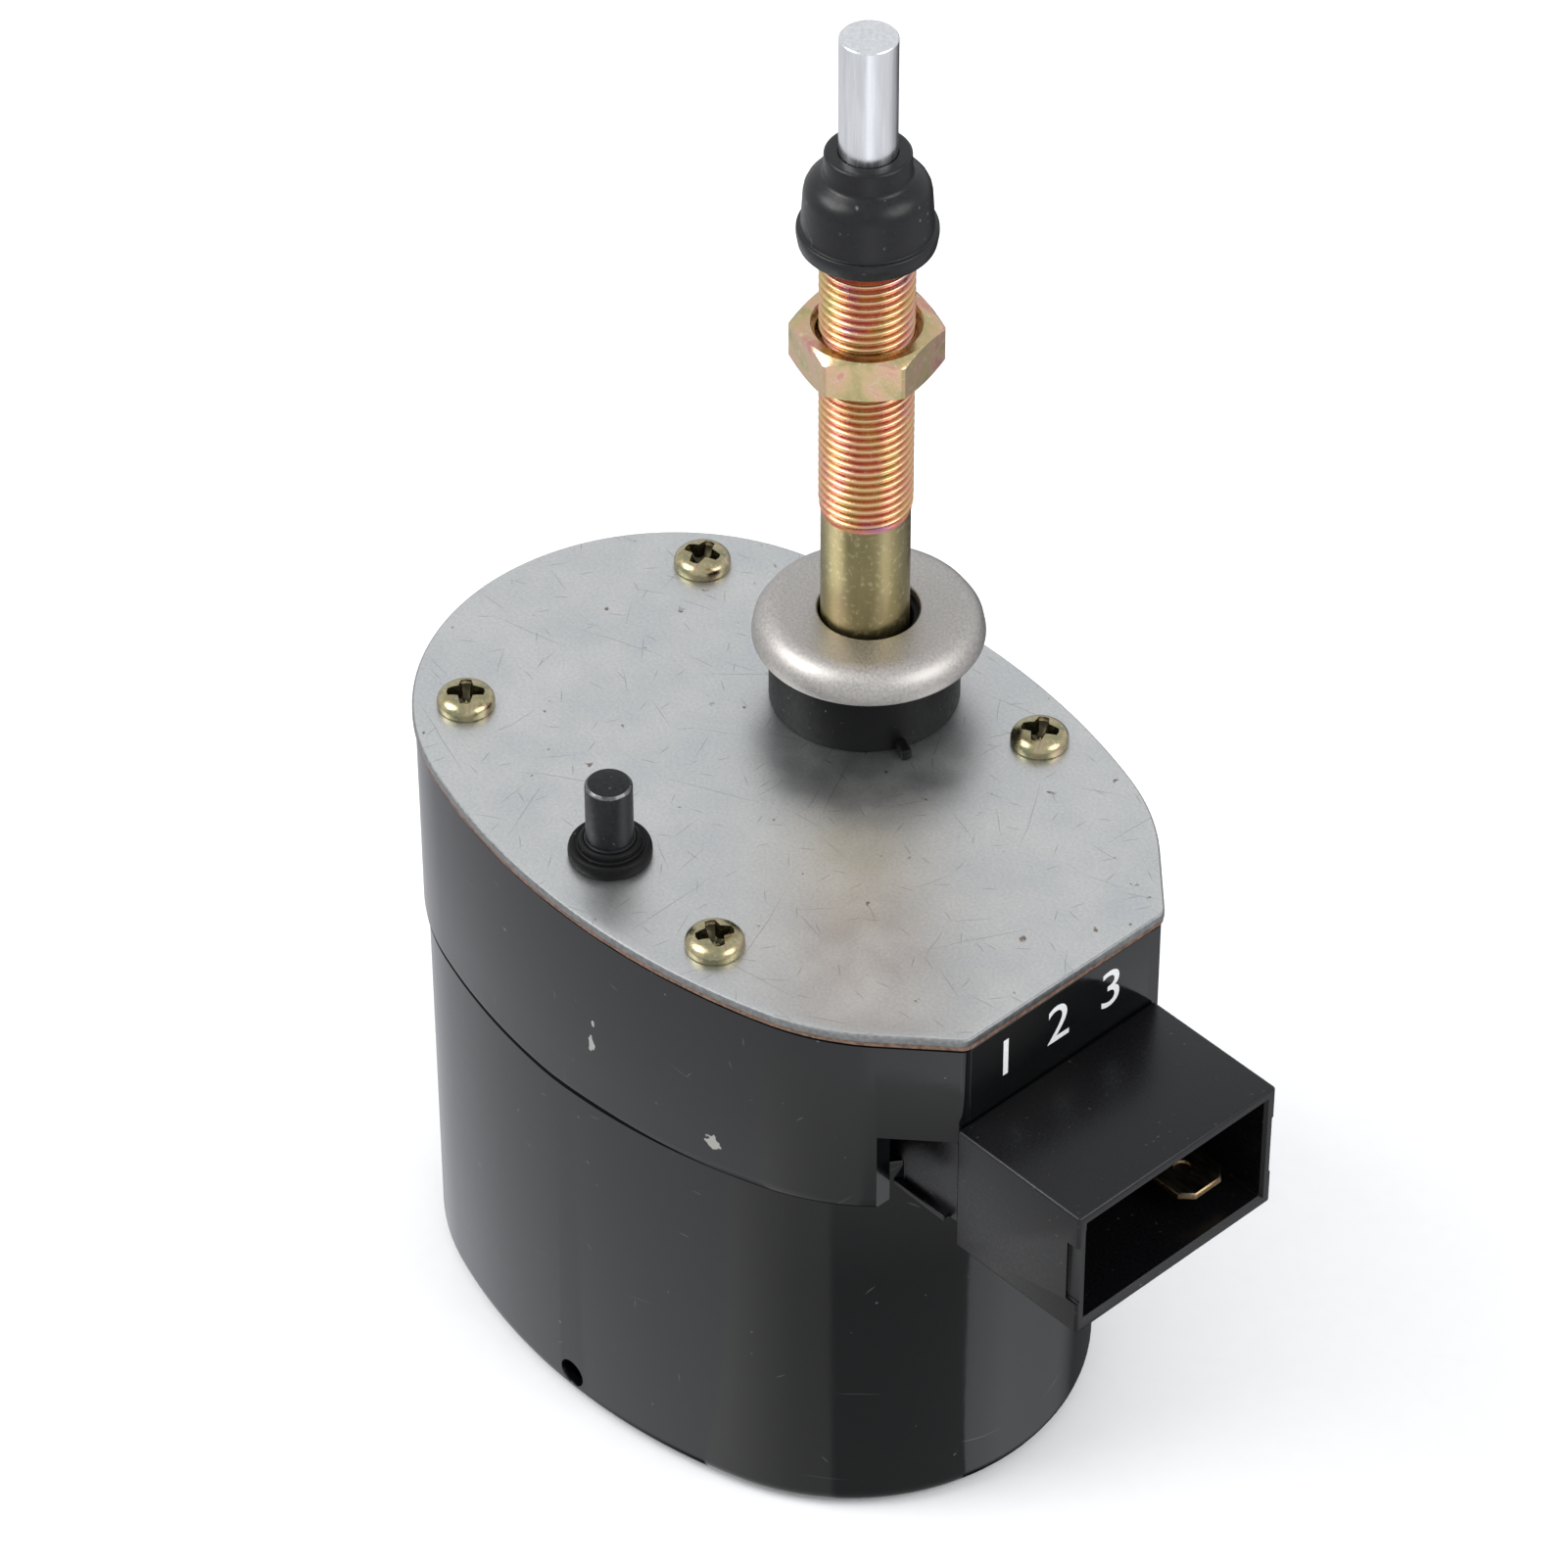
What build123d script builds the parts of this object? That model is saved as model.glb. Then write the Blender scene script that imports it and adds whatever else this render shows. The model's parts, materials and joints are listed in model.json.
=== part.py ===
from build123d import *
import os
from math import acos, asin, cos, degrees, hypot, pi, radians, sin, sqrt

# Wiper motor with a direct output shaft, in millimetres.
# +Z runs up the output shaft, the origin is on its axis at the cover plate's upper face,
# +X points out of the connector, and the long sides of the oval case run along X.

# Oval cover and case, seen from above
END_R = 27.4            # radius of both round ends
HALF_W = 30.1           # half the oval's width, its long sides bulging a little
MID_X = 3.85            # the oval's middle
MID_Y = -15.6           # its middle line, behind which the shaft stands
END_OUT = 17.1          # from the middle to each round end's centre
FLAT_CUT = 2.05         # how far the flat for the connector cuts into the right end
CORNER_OUT = 1.56       # how far the flat's corners stand out of the round end
PLATE_T = 1.0
PLATE_EDGE_CUT = 0.2    # upper edge rolled over by the punch, drawn as a chamfer
GASKET_T = 0.5
GASKET_INSET = 0.15
CASE_INSET = 0.3
CASE_WALL = 2.7
CHAMBER_DEPTH = 19.5    # gear chamber, from the case's top face down
FLOOR_T = 2.0
SKIRT_LAP = 4.2         # how far the case reaches down over the can
SKIRT_RISE = 2.8        # the case's lower edge climbs this much towards the connector

# Can
CAN_INSET = 1.0         # can's long sides inside the plate's
CAN_END_R = 26.8        # radius of the can's round ends
CAN_MID_X = 0.8         # the can's middle
CAN_END_OUT = 13.75     # from there to each of its round ends' centres
CAN_T = 0.9
CAN_H = 52.0
CAN_EDGE_R = 3.0        # outside radius round the can's bottom
DRAIN_R = 1.6
DRAIN_X = 1.3
DRAIN_UP = 3.6          # drain hole's centre above the can's bottom
LAP_GAP = 0.05          # between the can and the case around it

# Cover screws, in two pairs
SCREWS_LEFT_X = -27.05
SCREWS_RIGHT_X = 18.6
SCREW_PAIR_Y = -15.4    # middle of both pairs
SCREW_HALF_LEFT = 16.9  # half the distance between the left pair
SCREW_HALF_RIGHT = 23.1
SCREW_R = 1.5
SCREW_HEAD_R = 3.1
SCREW_HEAD_H = 1.9
SCREW_L = 7.0
BOSS_R = 3.3
BOSS_H = 7.6

# Output shaft, its sleeve and what sits on them
SHAFT_R = 3.0           # free end that takes the wiper arm
JOURNAL_R = 3.2         # the rest of the shaft, in its bushes
SHAFT_TOP = 84.0
SHAFT_CHAMFER = 0.3
BUSH_GAP = 0.03         # radial running clearance of every shaft in its bush
BUSH_T = 0.6
BUSH_L = 14.0
THREAD_R = 4.94
BLANK_R = 4.7           # plain stretch under the thread
THREAD_START = 24.9
SLEEVE_TOP = 66.0
SLEEVE_FLANGE_R = 8.0
SLEEVE_FLANGE_T = 1.6
END_WASHER_T = 0.4
END_WASHER_R = 4.2
CLIP_T = 0.6
CLIP_R = 4.0
CLIP_BITE = 0.3         # depth of the clip's groove in the shaft
END_PLAY = 0.1
NUT_FLATS = 14.0
NUT_H = 5.0
NUT_BOTTOM = 44.0
NUT_GAP = 0.06
NUT_CHAMFER = 0.5
NUT_TURN = -16.0        # direction of one corner, as the nut happens to sit
COUNTERSINK_R = 5.75
RING_R = 10.15          # rubber seal ring on the plate
RING_H = 10.3
RING_EDGE_CUT = 0.8
RING_BORE_GAP = 0.3
NIB_OUT = 2.1           # moulding nib at the ring's foot
NIB_W = 1.2
NIB_TURN = -22.0
RIM_R = 12.35           # cup washer
WASHER_HOLE_R = 5.38
WASHER_T = 1.2
WASHER_DROP = 3.4       # from the washer's top down to its rim's edge
WASHER_BEND_R = 3.0
BOOT_BASE_R = 7.25
BOOT_BASE_H = 1.7
BOOT_BOTTOM = 59.1
BOOT_SHOULDER_R = 6.4
BOOT_SHOULDER_H = 7.3
BOOT_NECK_R = 4.15
BOOT_NECK_H = 9.4
BOOT_LIP_R = 4.5
BOOT_H = 11.2
BOOT_GAP = 0.1

# Locating pin beside the shaft
PIN_X = 0.9
PIN_Y = -36.9
PIN_R = 2.5
PIN_FOOT_R = 2.7        # pin inside its grommet and the plate
PIN_STEP = 0.1          # the pin's full thickness starts this far above the grommet
PIN_TOP = 9.7
PIN_CHAMFER = 0.5
GROMMET_R = 4.45
GROMMET_H = 1.6
COLLAR_R = 3.3
COLLAR_H = 0.7

# Connector
CONN_W = 28.2
CONN_H = 16.3
CONN_L = 17.6
CONN_TOP = -12.0
CONN_SHIFT = -0.9       # the socket's middle against the oval's middle line
CONN_WALL = 1.3
SOCKET_DEPTH = 14.5
NOTCH_X = 39.4          # where the case's lower corners are cut away for the moulding
NOTCH_TOP = -14.5
BLOCK_BOTTOM = -26.2
BLOCK_GAP = 0.2
LIP_T = 0.8
LIP_OUT = 0.7
RELIEF_DEEP = 0.4       # shallow latch recess in each side of the mouth
RELIEF_H = 8.0
RELIEF_L = 1.6
TAB_W = 6.3
TAB_T = 0.8
TAB_TIP_IN = 2.6        # from the mouth in to the tabs' tips
TAB_BACK = 6.0          # tab behind the socket's floor
TAB_CHAMFER = 1.3
TAB_PITCH = 7.5
LOW_TAB_H = 4.3         # middle of the right tab above the socket's underside
HIGH_TAB_H = 12.6       # middle of the other two
DIMPLE_R = 0.9
DIMPLE_DEEP = 0.3

# Crank drive
SWING = 105.0           # the shaft's whole wiping angle
LEVER_LENGTH = 10.0
DRIVE_DIST = 22.0       # from the output shaft to the drive gear's axis
DRIVE_TURN = 64.4       # direction from the drive gear's axis to the output shaft
IDLER_TURN = 0.0        # direction from the drive gear's axis to the idler's
MOTOR_TURN = 163.7      # direction from the idler's axis to the armature's
PINION_TEETH = 9
WHEEL_TEETH = 60
WHEEL_PITCH_R = 18.0
IDLER_TEETH = 9
DRIVE_TEETH = 51
DRIVE_PITCH_R = 20.4
TOOTH_SHARE = 0.44      # tooth's part of the pitch, the rest being gap and backlash
WHEEL_T = 2.4
DRIVE_T = 3.8
GEAR_GAP = 0.4          # between a gear and the floor or gear next to it
DRIVE_STUD_R = 2.5
IDLER_STUD_R = 1.5
CRANK_PIN_R = 2.0
CRANK_BOSS_R = 3.6
ROD_T = 1.8
ROD_EYE_R = 3.4
ROD_W = 4.0
LEVER_T = 3.0
LEVER_HUB_R = 5.4
LEVER_END_R = 3.2
LEVER_PIN_R = 2.0
THRUST_T = 0.6
THRUST_R = 6.0
PARK_RING_T = 0.3
PARK_RING_IN = 13.0
PARK_RING_OUT = 16.5
PARK_BREAK = 40.0       # break in the parking ring, in degrees
FINGER_T = 0.3
FINGER_W = 2.0
FINGER_GAP = 0.3
FINGER_SIDES = (6.5, 10.5)  # how far each finger lies beside the drive gear's axis
CARRIER_W = 14.0
CARRIER_L = 4.0
CARRIER_H = 5.0

# Motor in the can
YOKE_R = 23.0
YOKE_T = 1.5
YOKE_SHORT = 5.0        # yoke shorter than the can
YOKE_FLANGE_R = 25.6
MAGNET_T = 4.5
MAGNET_SHORT = 22.0     # magnets shorter than the can
MAGNET_TURN = 130.0     # how far each magnet reaches round
MAGNET_UP = 4.0         # magnets' lower end above the yoke's floor
AIR_GAP = 0.5
CORE_SHORT = 8.0        # core shorter than the magnets
CORE_SLOTS = 10
SLOT_W = 2.6
SLOT_DEEP = 6.5
WINDING_PROUD = 3.6
ARM_SHAFT_R = 2.0
PINION_SHAFT_R = 1.2    # shaft's thin end inside the pinion
COMM_R = 7.0
COMM_GAP = 0.4          # between the winding and the commutator
COMM_BARS = 10
COMM_DROP = 3.5         # commutator's top under the case's floor
BRUSH_PLATE_T = 1.5
BRUSH_PLATE_DROP = 1.2
BRUSH_W = 5.0
BRUSH_H = 4.0
BRUSH_L = 6.0
BRUSH_GAP = 0.05
HOLDER_T = 0.8
HOLDER_L = 9.0
SPRING_T = 1.0
BEARING_R = 4.2
BEARING_L = 5.0
BEARING_OUT = 1.6       # lower bearing below the yoke
MOTOR_SCREW_R = 1.0
MOTOR_SCREW_HEAD_R = 1.8
MOTOR_SCREW_HEAD_H = 1.2
MOTOR_SCREW_CIRCLE_R = 23.6
MOTOR_SCREW_TURNS = (20.0, 200.0)

# Heights and places that follow from the sizes above
LEFT_X = MID_X - END_OUT
RIGHT_X = MID_X + END_OUT
FLAT_X = RIGHT_X + END_R - FLAT_CUT
CASE_TOP = -(PLATE_T + GASKET_T)
CHAMBER_FLOOR = CASE_TOP - CHAMBER_DEPTH
CAN_TOP = CHAMBER_FLOOR - FLOOR_T
SKIRT_BOTTOM = CAN_TOP - SKIRT_LAP
CAN_BOTTOM = CAN_TOP - CAN_H
CAN_HALF_W = HALF_W - CAN_INSET
CASE_FLAT_X = FLAT_X - CASE_INSET
CONN_Y = MID_Y + CONN_SHIFT
CONN_SIDE = CONN_W / 2
MOUTH_X = CASE_FLAT_X + CONN_L
SOCKET_FLOOR_X = MOUTH_X - SOCKET_DEPTH
SLEEVE_BOTTOM = -PLATE_T - SLEEVE_FLANGE_T
BUSH_R = JOURNAL_R + BUSH_GAP + BUSH_T
WASHER_TOP = RING_H + WASHER_T
CLIP_BOTTOM = SLEEVE_TOP + END_WASHER_T + END_PLAY
LEVER_TOP = SLEEVE_BOTTOM - THRUST_T - END_PLAY
HALF_SWING = radians(SWING / 2)
WHEEL_MODULE = 2 * WHEEL_PITCH_R / WHEEL_TEETH
DRIVE_MODULE = 2 * DRIVE_PITCH_R / DRIVE_TEETH
CRANK_R = LEVER_LENGTH * sin(HALF_SWING)
WHEEL_BOTTOM = CHAMBER_FLOOR + GEAR_GAP
WHEEL_TOP = WHEEL_BOTTOM + WHEEL_T
DRIVE_BOTTOM = WHEEL_TOP + GEAR_GAP
DRIVE_TOP = DRIVE_BOTTOM + DRIVE_T
FINGER_BOTTOM = DRIVE_TOP + PARK_RING_T + FINGER_GAP
ROD_BOTTOM = FINGER_BOTTOM + FINGER_T + GEAR_GAP
ROD_TOP = ROD_BOTTOM + ROD_T
CRANK_PIN_TOP = ROD_TOP + GEAR_GAP
LEVER_BOTTOM = CRANK_PIN_TOP + GEAR_GAP
YOKE_BOTTOM = CAN_BOTTOM + YOKE_SHORT
MAGNET_L = CAN_H - MAGNET_SHORT
CORE_L = MAGNET_L - CORE_SHORT
YOKE_FLOOR = YOKE_BOTTOM + YOKE_T
CORE_R = YOKE_R - YOKE_T - MAGNET_T - AIR_GAP
CORE_BOTTOM = YOKE_FLOOR + MAGNET_UP + (MAGNET_L - CORE_L) / 2
COMM_TOP = CAN_TOP - COMM_DROP
COMM_BOTTOM = CORE_BOTTOM + CORE_L + WINDING_PROUD + COMM_GAP
BRUSH_TOP = CAN_TOP - BRUSH_PLATE_DROP - BRUSH_PLATE_T - HOLDER_T - BRUSH_GAP
BEARING_BOTTOM = YOKE_BOTTOM - BEARING_OUT


def polar(origin, length, turn):
    """The point at a distance and a direction, in degrees, from another."""
    return (origin[0] + length * cos(radians(turn)), origin[1] + length * sin(radians(turn)))


OUTPUT_AXIS = (0.0, 0.0)
DRIVE_AXIS = polar(OUTPUT_AXIS, DRIVE_DIST, DRIVE_TURN + 180)
IDLER_AXIS = polar(DRIVE_AXIS, DRIVE_MODULE * (IDLER_TEETH + DRIVE_TEETH) / 2, IDLER_TURN)
MOTOR_AXIS = polar(IDLER_AXIS, WHEEL_MODULE * (PINION_TEETH + WHEEL_TEETH) / 2, MOTOR_TURN)
# At both ends of the swing the crank and the rod lie on one line, so the lever's middle
# position is square to that line
LEVER_TURN = DRIVE_TURN - degrees(asin(LEVER_LENGTH * cos(HALF_SWING) / DRIVE_DIST)) - 90
LEVER_PIN = polar(OUTPUT_AXIS, LEVER_LENGTH, LEVER_TURN)
CRANK_PIN = polar(DRIVE_AXIS, CRANK_R, LEVER_TURN)


def cyl(radius, low, high, at=OUTPUT_AXIS):
    """An upright round bar between two heights."""
    bar = Cylinder(radius, high - low, align=(Align.CENTER, Align.CENTER, Align.MIN))
    return Pos(at[0], at[1], low) * bar


def tube(outer, inner, low, high, at=OUTPUT_AXIS):
    """An upright tube between two heights."""
    return cyl(outer, low, high, at) - cyl(inner, low - 1, high + 1, at)


def block(x_span, y_span, z_span):
    """A box given by its lowest and highest place along each axis."""
    size = [b - a for a, b in (x_span, y_span, z_span)]
    return Pos(x_span[0], y_span[0], z_span[0]) * Box(*size, align=(Align.MIN, Align.MIN, Align.MIN))


def slab(face, low, high):
    """A flat face on the XY plane made into a solid between two heights."""
    return Pos(0, 0, low) * extrude(face, amount=high - low, dir=(0, 0, 1))


def turned(points, at=OUTPUT_AXIS):
    """A solid turned about an upright axis from its half section, as (radius, height) points."""
    section = make_face(Plane.XZ * Polyline(*points, close=True))
    return Pos(at[0], at[1], 0) * revolve(section, Axis.Z)


def link_outline(start, start_r, end, end_r, width):
    """A flat link seen from above: a round eye at each end and a bar between them."""
    length = hypot(end[0] - start[0], end[1] - start[1])
    turn = degrees(atan2_of(start, end))
    middle = Pos((start[0] + end[0]) / 2, (start[1] + end[1]) / 2) * Rot(0, 0, turn)
    bar = middle * Rectangle(length, width)
    return (Pos(*start) * Circle(start_r)) + bar + (Pos(*end) * Circle(end_r))


def atan2_of(start, end):
    """The direction from one point to another, in radians."""
    length = hypot(end[0] - start[0], end[1] - start[1])
    turn = acos((end[0] - start[0]) / length)
    return turn if end[1] >= start[1] else -turn


def oval_ends(end_r, half_w, end_out):
    """The radius of an oval's bulging long sides, and the angle at which they meet its round ends."""
    side_r = (end_out ** 2 / (half_w - end_r) + end_r + half_w) / 2
    return side_r, acos(end_out / (side_r - end_r))


def oval(inset):
    """The cover's outline moved in by inset: round ends, bulging sides and a flat with tangent corners."""
    corner = END_R + CORNER_OUT
    turn = acos((FLAT_X - RIGHT_X) / corner) + acos(END_R / corner)
    join = oval_ends(END_R, HALF_W, END_OUT)[1]
    r = END_R - inset
    x_flat = FLAT_X - inset
    y_flat = (r - (x_flat - RIGHT_X) * cos(turn)) / sin(turn)

    def right(angle):
        return (RIGHT_X + r * cos(angle), MID_Y + r * sin(angle))

    def left(angle):
        return (LEFT_X - r * cos(angle), MID_Y + r * sin(angle))

    return make_face([
        ThreePointArc(left(join), left(0), left(-join)),
        ThreePointArc(left(-join), (MID_X, MID_Y - HALF_W + inset), right(-join)),
        ThreePointArc(right(-join), right(-(turn + join) / 2), right(-turn)),
        Line(right(-turn), (x_flat, MID_Y - y_flat)),
        Line((x_flat, MID_Y - y_flat), (x_flat, MID_Y + y_flat)),
        Line((x_flat, MID_Y + y_flat), right(turn)),
        ThreePointArc(right(turn), right((turn + join) / 2), right(join)),
        ThreePointArc(right(join), (MID_X, MID_Y + HALF_W - inset), left(join)),
    ])


def can_outline(inset):
    """The can's plain oval outline moved in by inset."""
    join = oval_ends(CAN_END_R, CAN_HALF_W, CAN_END_OUT)[1]
    r = CAN_END_R - inset

    def end(side, angle):
        return (CAN_MID_X + side * (CAN_END_OUT + r * cos(angle)), MID_Y + r * sin(angle))

    return make_face([
        ThreePointArc(end(-1, join), end(-1, 0), end(-1, -join)),
        ThreePointArc(end(-1, -join), (CAN_MID_X, MID_Y - CAN_HALF_W + inset), end(1, -join)),
        ThreePointArc(end(1, -join), end(1, 0), end(1, join)),
        ThreePointArc(end(1, join), (CAN_MID_X, MID_Y + CAN_HALF_W - inset), end(-1, join)),
    ])


def cover_screw_places():
    """The four cover screws, in a wide pair near the connector and a narrow one at the other end."""
    pairs = ((SCREWS_LEFT_X, SCREW_HALF_LEFT), (SCREWS_RIGHT_X, -SCREW_HALF_RIGHT))
    return [(x, SCREW_PAIR_Y + side * half) for x, half in pairs for side in (1, -1)]


def motor_screw_places():
    """Two screws through the yoke's flange into the case's floor."""
    return [polar(MOTOR_AXIS, MOTOR_SCREW_CIRCLE_R, turn) for turn in MOTOR_SCREW_TURNS]


def gear_outline(teeth, module, tip, root, turn):
    """A spur gear's outline about the origin. Straight flanks stand in for the involutes."""
    step = 2 * pi / teeth
    flank = [(module * (teeth / 2 - root), TOOTH_SHARE + 0.12),
             (module * (teeth / 2 + tip), TOOTH_SHARE - 0.2)]
    points = []
    for n in range(teeth):
        middle = radians(turn) + n * step
        for side, ring in ((-1, flank), (1, flank[::-1])):
            for r, share in ring:
                angle = middle + side * share * step / 2
                points.append((r * cos(angle), r * sin(angle)))
    return make_face(Polyline(*points, close=True))


def cover_plate():
    """Zinc-plated top plate with holes for the sleeve, the pin and four screws."""
    plate = slab(oval(0), -PLATE_T, 0)
    plate = chamfer(plate.edges().group_by(Axis.Z)[-1], PLATE_EDGE_CUT)
    plate -= cyl(BLANK_R, -PLATE_T - 1, 1)
    plate -= cyl(PIN_FOOT_R, -PLATE_T - 1, 1, (PIN_X, PIN_Y))
    for place in cover_screw_places():
        plate -= cyl(SCREW_R + LAP_GAP, -PLATE_T - 1, 1, place)
    return plate


def gasket():
    """Thin fibre gasket between the plate and the case's rim."""
    rim = oval(GASKET_INSET) - oval(CASE_INSET + CASE_WALL)
    sheet = slab(rim, CASE_TOP, -PLATE_T)
    for place in cover_screw_places():
        ear = cyl(BOSS_R, CASE_TOP, -PLATE_T, place) & slab(oval(CASE_INSET), CASE_TOP, -PLATE_T)
        sheet = sheet + ear - cyl(SCREW_R + LAP_GAP, CASE_TOP - 1, 0, place)
    return sheet


def notch():
    """What is cut from the case's lower right end to let the connector's moulding through."""
    low = SKIRT_BOTTOM - 1
    return block((NOTCH_X, FLAT_X + 1), (MID_Y - HALF_W, MID_Y + HALF_W), (low, NOTCH_TOP))


def gear_case():
    """Cast case: gear chamber with screw bosses above, and a skirt that laps over the can below."""
    case = slab(oval(CASE_INSET), SKIRT_BOTTOM, CASE_TOP)
    case -= slab(oval(CASE_INSET + CASE_WALL), CHAMBER_FLOOR, CASE_TOP + 1)
    case -= slab(can_outline(-LAP_GAP), SKIRT_BOTTOM - 1, CAN_TOP)
    inside = slab(oval(CASE_INSET + LAP_GAP), CASE_TOP - BOSS_H, CASE_TOP)
    for place in cover_screw_places():
        case += cyl(BOSS_R, CASE_TOP - BOSS_H, CASE_TOP, place) & inside
    for place in cover_screw_places():
        case -= cyl(SCREW_R, CASE_TOP - BOSS_H - 1, CASE_TOP + 1, place)
    end, low = NOTCH_X + 1, SKIRT_BOTTOM - 1
    wedge = Polyline((0, SKIRT_BOTTOM), (end, SKIRT_BOTTOM + SKIRT_RISE), (end, low), (0, low), close=True)
    case -= extrude(make_face(Plane.XZ * wedge), amount=HALF_W - MID_Y + 1, both=True)
    case -= notch()
    case -= cyl(DRIVE_STUD_R, CAN_TOP - 1, CHAMBER_FLOOR + 1, DRIVE_AXIS)
    case -= cyl(IDLER_STUD_R, CAN_TOP - 1, CHAMBER_FLOOR + 1, IDLER_AXIS)
    case -= cyl(BEARING_R, CAN_TOP - 1, CHAMBER_FLOOR + 1, MOTOR_AXIS)
    for place in motor_screw_places():
        case -= cyl(MOTOR_SCREW_R, CAN_TOP - 1, CHAMBER_FLOOR + 1, place)
    return case


def motor_can():
    """Deep-drawn oval can with a rounded bottom edge and a drain hole."""
    can = slab(can_outline(0), CAN_BOTTOM, CAN_TOP)
    can = fillet(can.edges().group_by(Axis.Z)[0], CAN_EDGE_R)
    inner = slab(can_outline(CAN_T), CAN_BOTTOM + CAN_T, CAN_TOP + 1)
    can -= chamfer(inner.edges().group_by(Axis.Z)[0], (CAN_EDGE_R - CAN_T) * 0.6)
    drain_at = Pos(DRAIN_X, MID_Y - CAN_HALF_W, CAN_BOTTOM + DRAIN_UP) * Rot(90, 0, 0)
    return can - drain_at * Cylinder(DRAIN_R, 6 * CAN_T)


def cover_screws():
    """Four pan-head screws through the plate into the case's bosses."""
    screws = []
    for place in cover_screw_places():
        head = turned([
            (0, 0), (SCREW_HEAD_R, 0), (SCREW_HEAD_R, SCREW_HEAD_H * 0.35),
            (SCREW_HEAD_R * 0.85, SCREW_HEAD_H * 0.78), (SCREW_HEAD_R * 0.5, SCREW_HEAD_H), (0, SCREW_HEAD_H),
        ], place)
        screws.append(head + cyl(SCREW_R, -SCREW_L, 0, place))
    return Compound(screws)


def shaft_sleeve():
    """Steel sleeve: plain below, its thread drawn as a larger bar, with a flange staked under the plate."""
    low = -PLATE_T
    sleeve = turned([
        (BUSH_R, SLEEVE_BOTTOM), (SLEEVE_FLANGE_R, SLEEVE_BOTTOM), (SLEEVE_FLANGE_R, low), (BLANK_R, low),
        (BLANK_R, THREAD_START - 0.3), (THREAD_R, THREAD_START), (THREAD_R, SLEEVE_TOP - 0.5),
        (THREAD_R - 0.5, SLEEVE_TOP), (BUSH_R, SLEEVE_TOP),
    ])
    waist_low, waist_high = SLEEVE_BOTTOM + BUSH_L, SLEEVE_TOP - BUSH_L
    return sleeve - cyl(BUSH_R + 0.2, waist_low, waist_high)


def shaft_bush(low):
    """Sintered bush pressed into one end of the sleeve."""
    return tube(BUSH_R, JOURNAL_R + BUSH_GAP, low, low + BUSH_L)


def seal_ring():
    """Rubber ring round the sleeve, squeezed between the plate and the vehicle's panel."""
    body = tube(RING_R, BLANK_R + RING_BORE_GAP, 0, RING_H)
    body = chamfer(body.edges().group_by(Axis.Z)[-1].sort_by(SortBy.RADIUS)[-1], RING_EDGE_CUT)
    nib = block((RING_R - 1, RING_R + NIB_OUT), (-NIB_W / 2, NIB_W / 2), (0, NIB_W))
    return body + Rot(0, 0, NIB_TURN) * nib


def cup_washer():
    """Pressed steel cup washer that rests on the rubber ring, its rim turned down over it."""
    flat_r, inner_r = RIM_R - WASHER_BEND_R, RIM_R - WASHER_T
    bend_z, rim_z = WASHER_TOP - WASHER_BEND_R, WASHER_TOP - WASHER_DROP
    edges = [
        Polyline((WASHER_HOLE_R, RING_H), (WASHER_HOLE_R, WASHER_TOP), (flat_r, WASHER_TOP)),
        TangentArc((flat_r, WASHER_TOP), (RIM_R, bend_z), tangent=(1, 0)),
        Polyline((RIM_R, bend_z), (RIM_R, rim_z), (inner_r, rim_z), (inner_r, bend_z)),
        TangentArc((inner_r, bend_z), (flat_r, RING_H), tangent=(0, 1)),
        Line((flat_r, RING_H), (WASHER_HOLE_R, RING_H)),
    ]
    return revolve(make_face([Plane.XZ * edge for edge in edges]), Axis.Z)


def mounting_nut():
    """Thin hexagon nut with chamfered corners and a wide countersink at each end."""
    hexagon = RegularPolygon(NUT_FLATS / 2, 6, major_radius=False, rotation=NUT_TURN)
    top = NUT_BOTTOM + NUT_H
    nut = slab(hexagon, NUT_BOTTOM, top)
    corner_r = NUT_FLATS / sqrt(3)
    cone = turned([
        (0, NUT_BOTTOM), (NUT_FLATS / 2 - 0.2, NUT_BOTTOM), (corner_r + 0.2, NUT_BOTTOM + NUT_CHAMFER),
        (corner_r + 0.2, top - NUT_CHAMFER), (NUT_FLATS / 2 - 0.2, top), (0, top),
    ])
    nut = nut & cone
    bore_r = THREAD_R + NUT_GAP
    sink = COUNTERSINK_R - bore_r
    return nut - turned([
        (0, NUT_BOTTOM - 1), (COUNTERSINK_R, NUT_BOTTOM - 1), (COUNTERSINK_R, NUT_BOTTOM),
        (bore_r, NUT_BOTTOM + sink), (bore_r, top - sink), (COUNTERSINK_R, top),
        (COUNTERSINK_R, top + 1), (0, top + 1),
    ])


def sleeve_boot():
    """Rubber boot pushed over the sleeve's top, with a neck and lip round the shaft."""
    low = BOOT_BOTTOM
    shoulder, neck, top = low + BOOT_SHOULDER_H, low + BOOT_NECK_H, low + BOOT_H
    lip_bore = JOURNAL_R + BOOT_GAP
    return turned([
        (THREAD_R + LAP_GAP, low), (BOOT_BASE_R, low), (BOOT_BASE_R, low + BOOT_BASE_H),
        (BOOT_BASE_R - 0.35, low + BOOT_BASE_H + 0.3), (BOOT_SHOULDER_R, shoulder - 0.6),
        (BOOT_SHOULDER_R - 0.5, shoulder + 0.3), (BOOT_NECK_R + 0.2, neck - 0.5), (BOOT_NECK_R, neck),
        (BOOT_LIP_R, top - 0.9), (BOOT_LIP_R, top - 0.3), (BOOT_LIP_R - 0.3, top), (lip_bore, top),
        (lip_bore, shoulder + 2.2), (THREAD_R + LAP_GAP, shoulder + 0.6),
    ])


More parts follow.
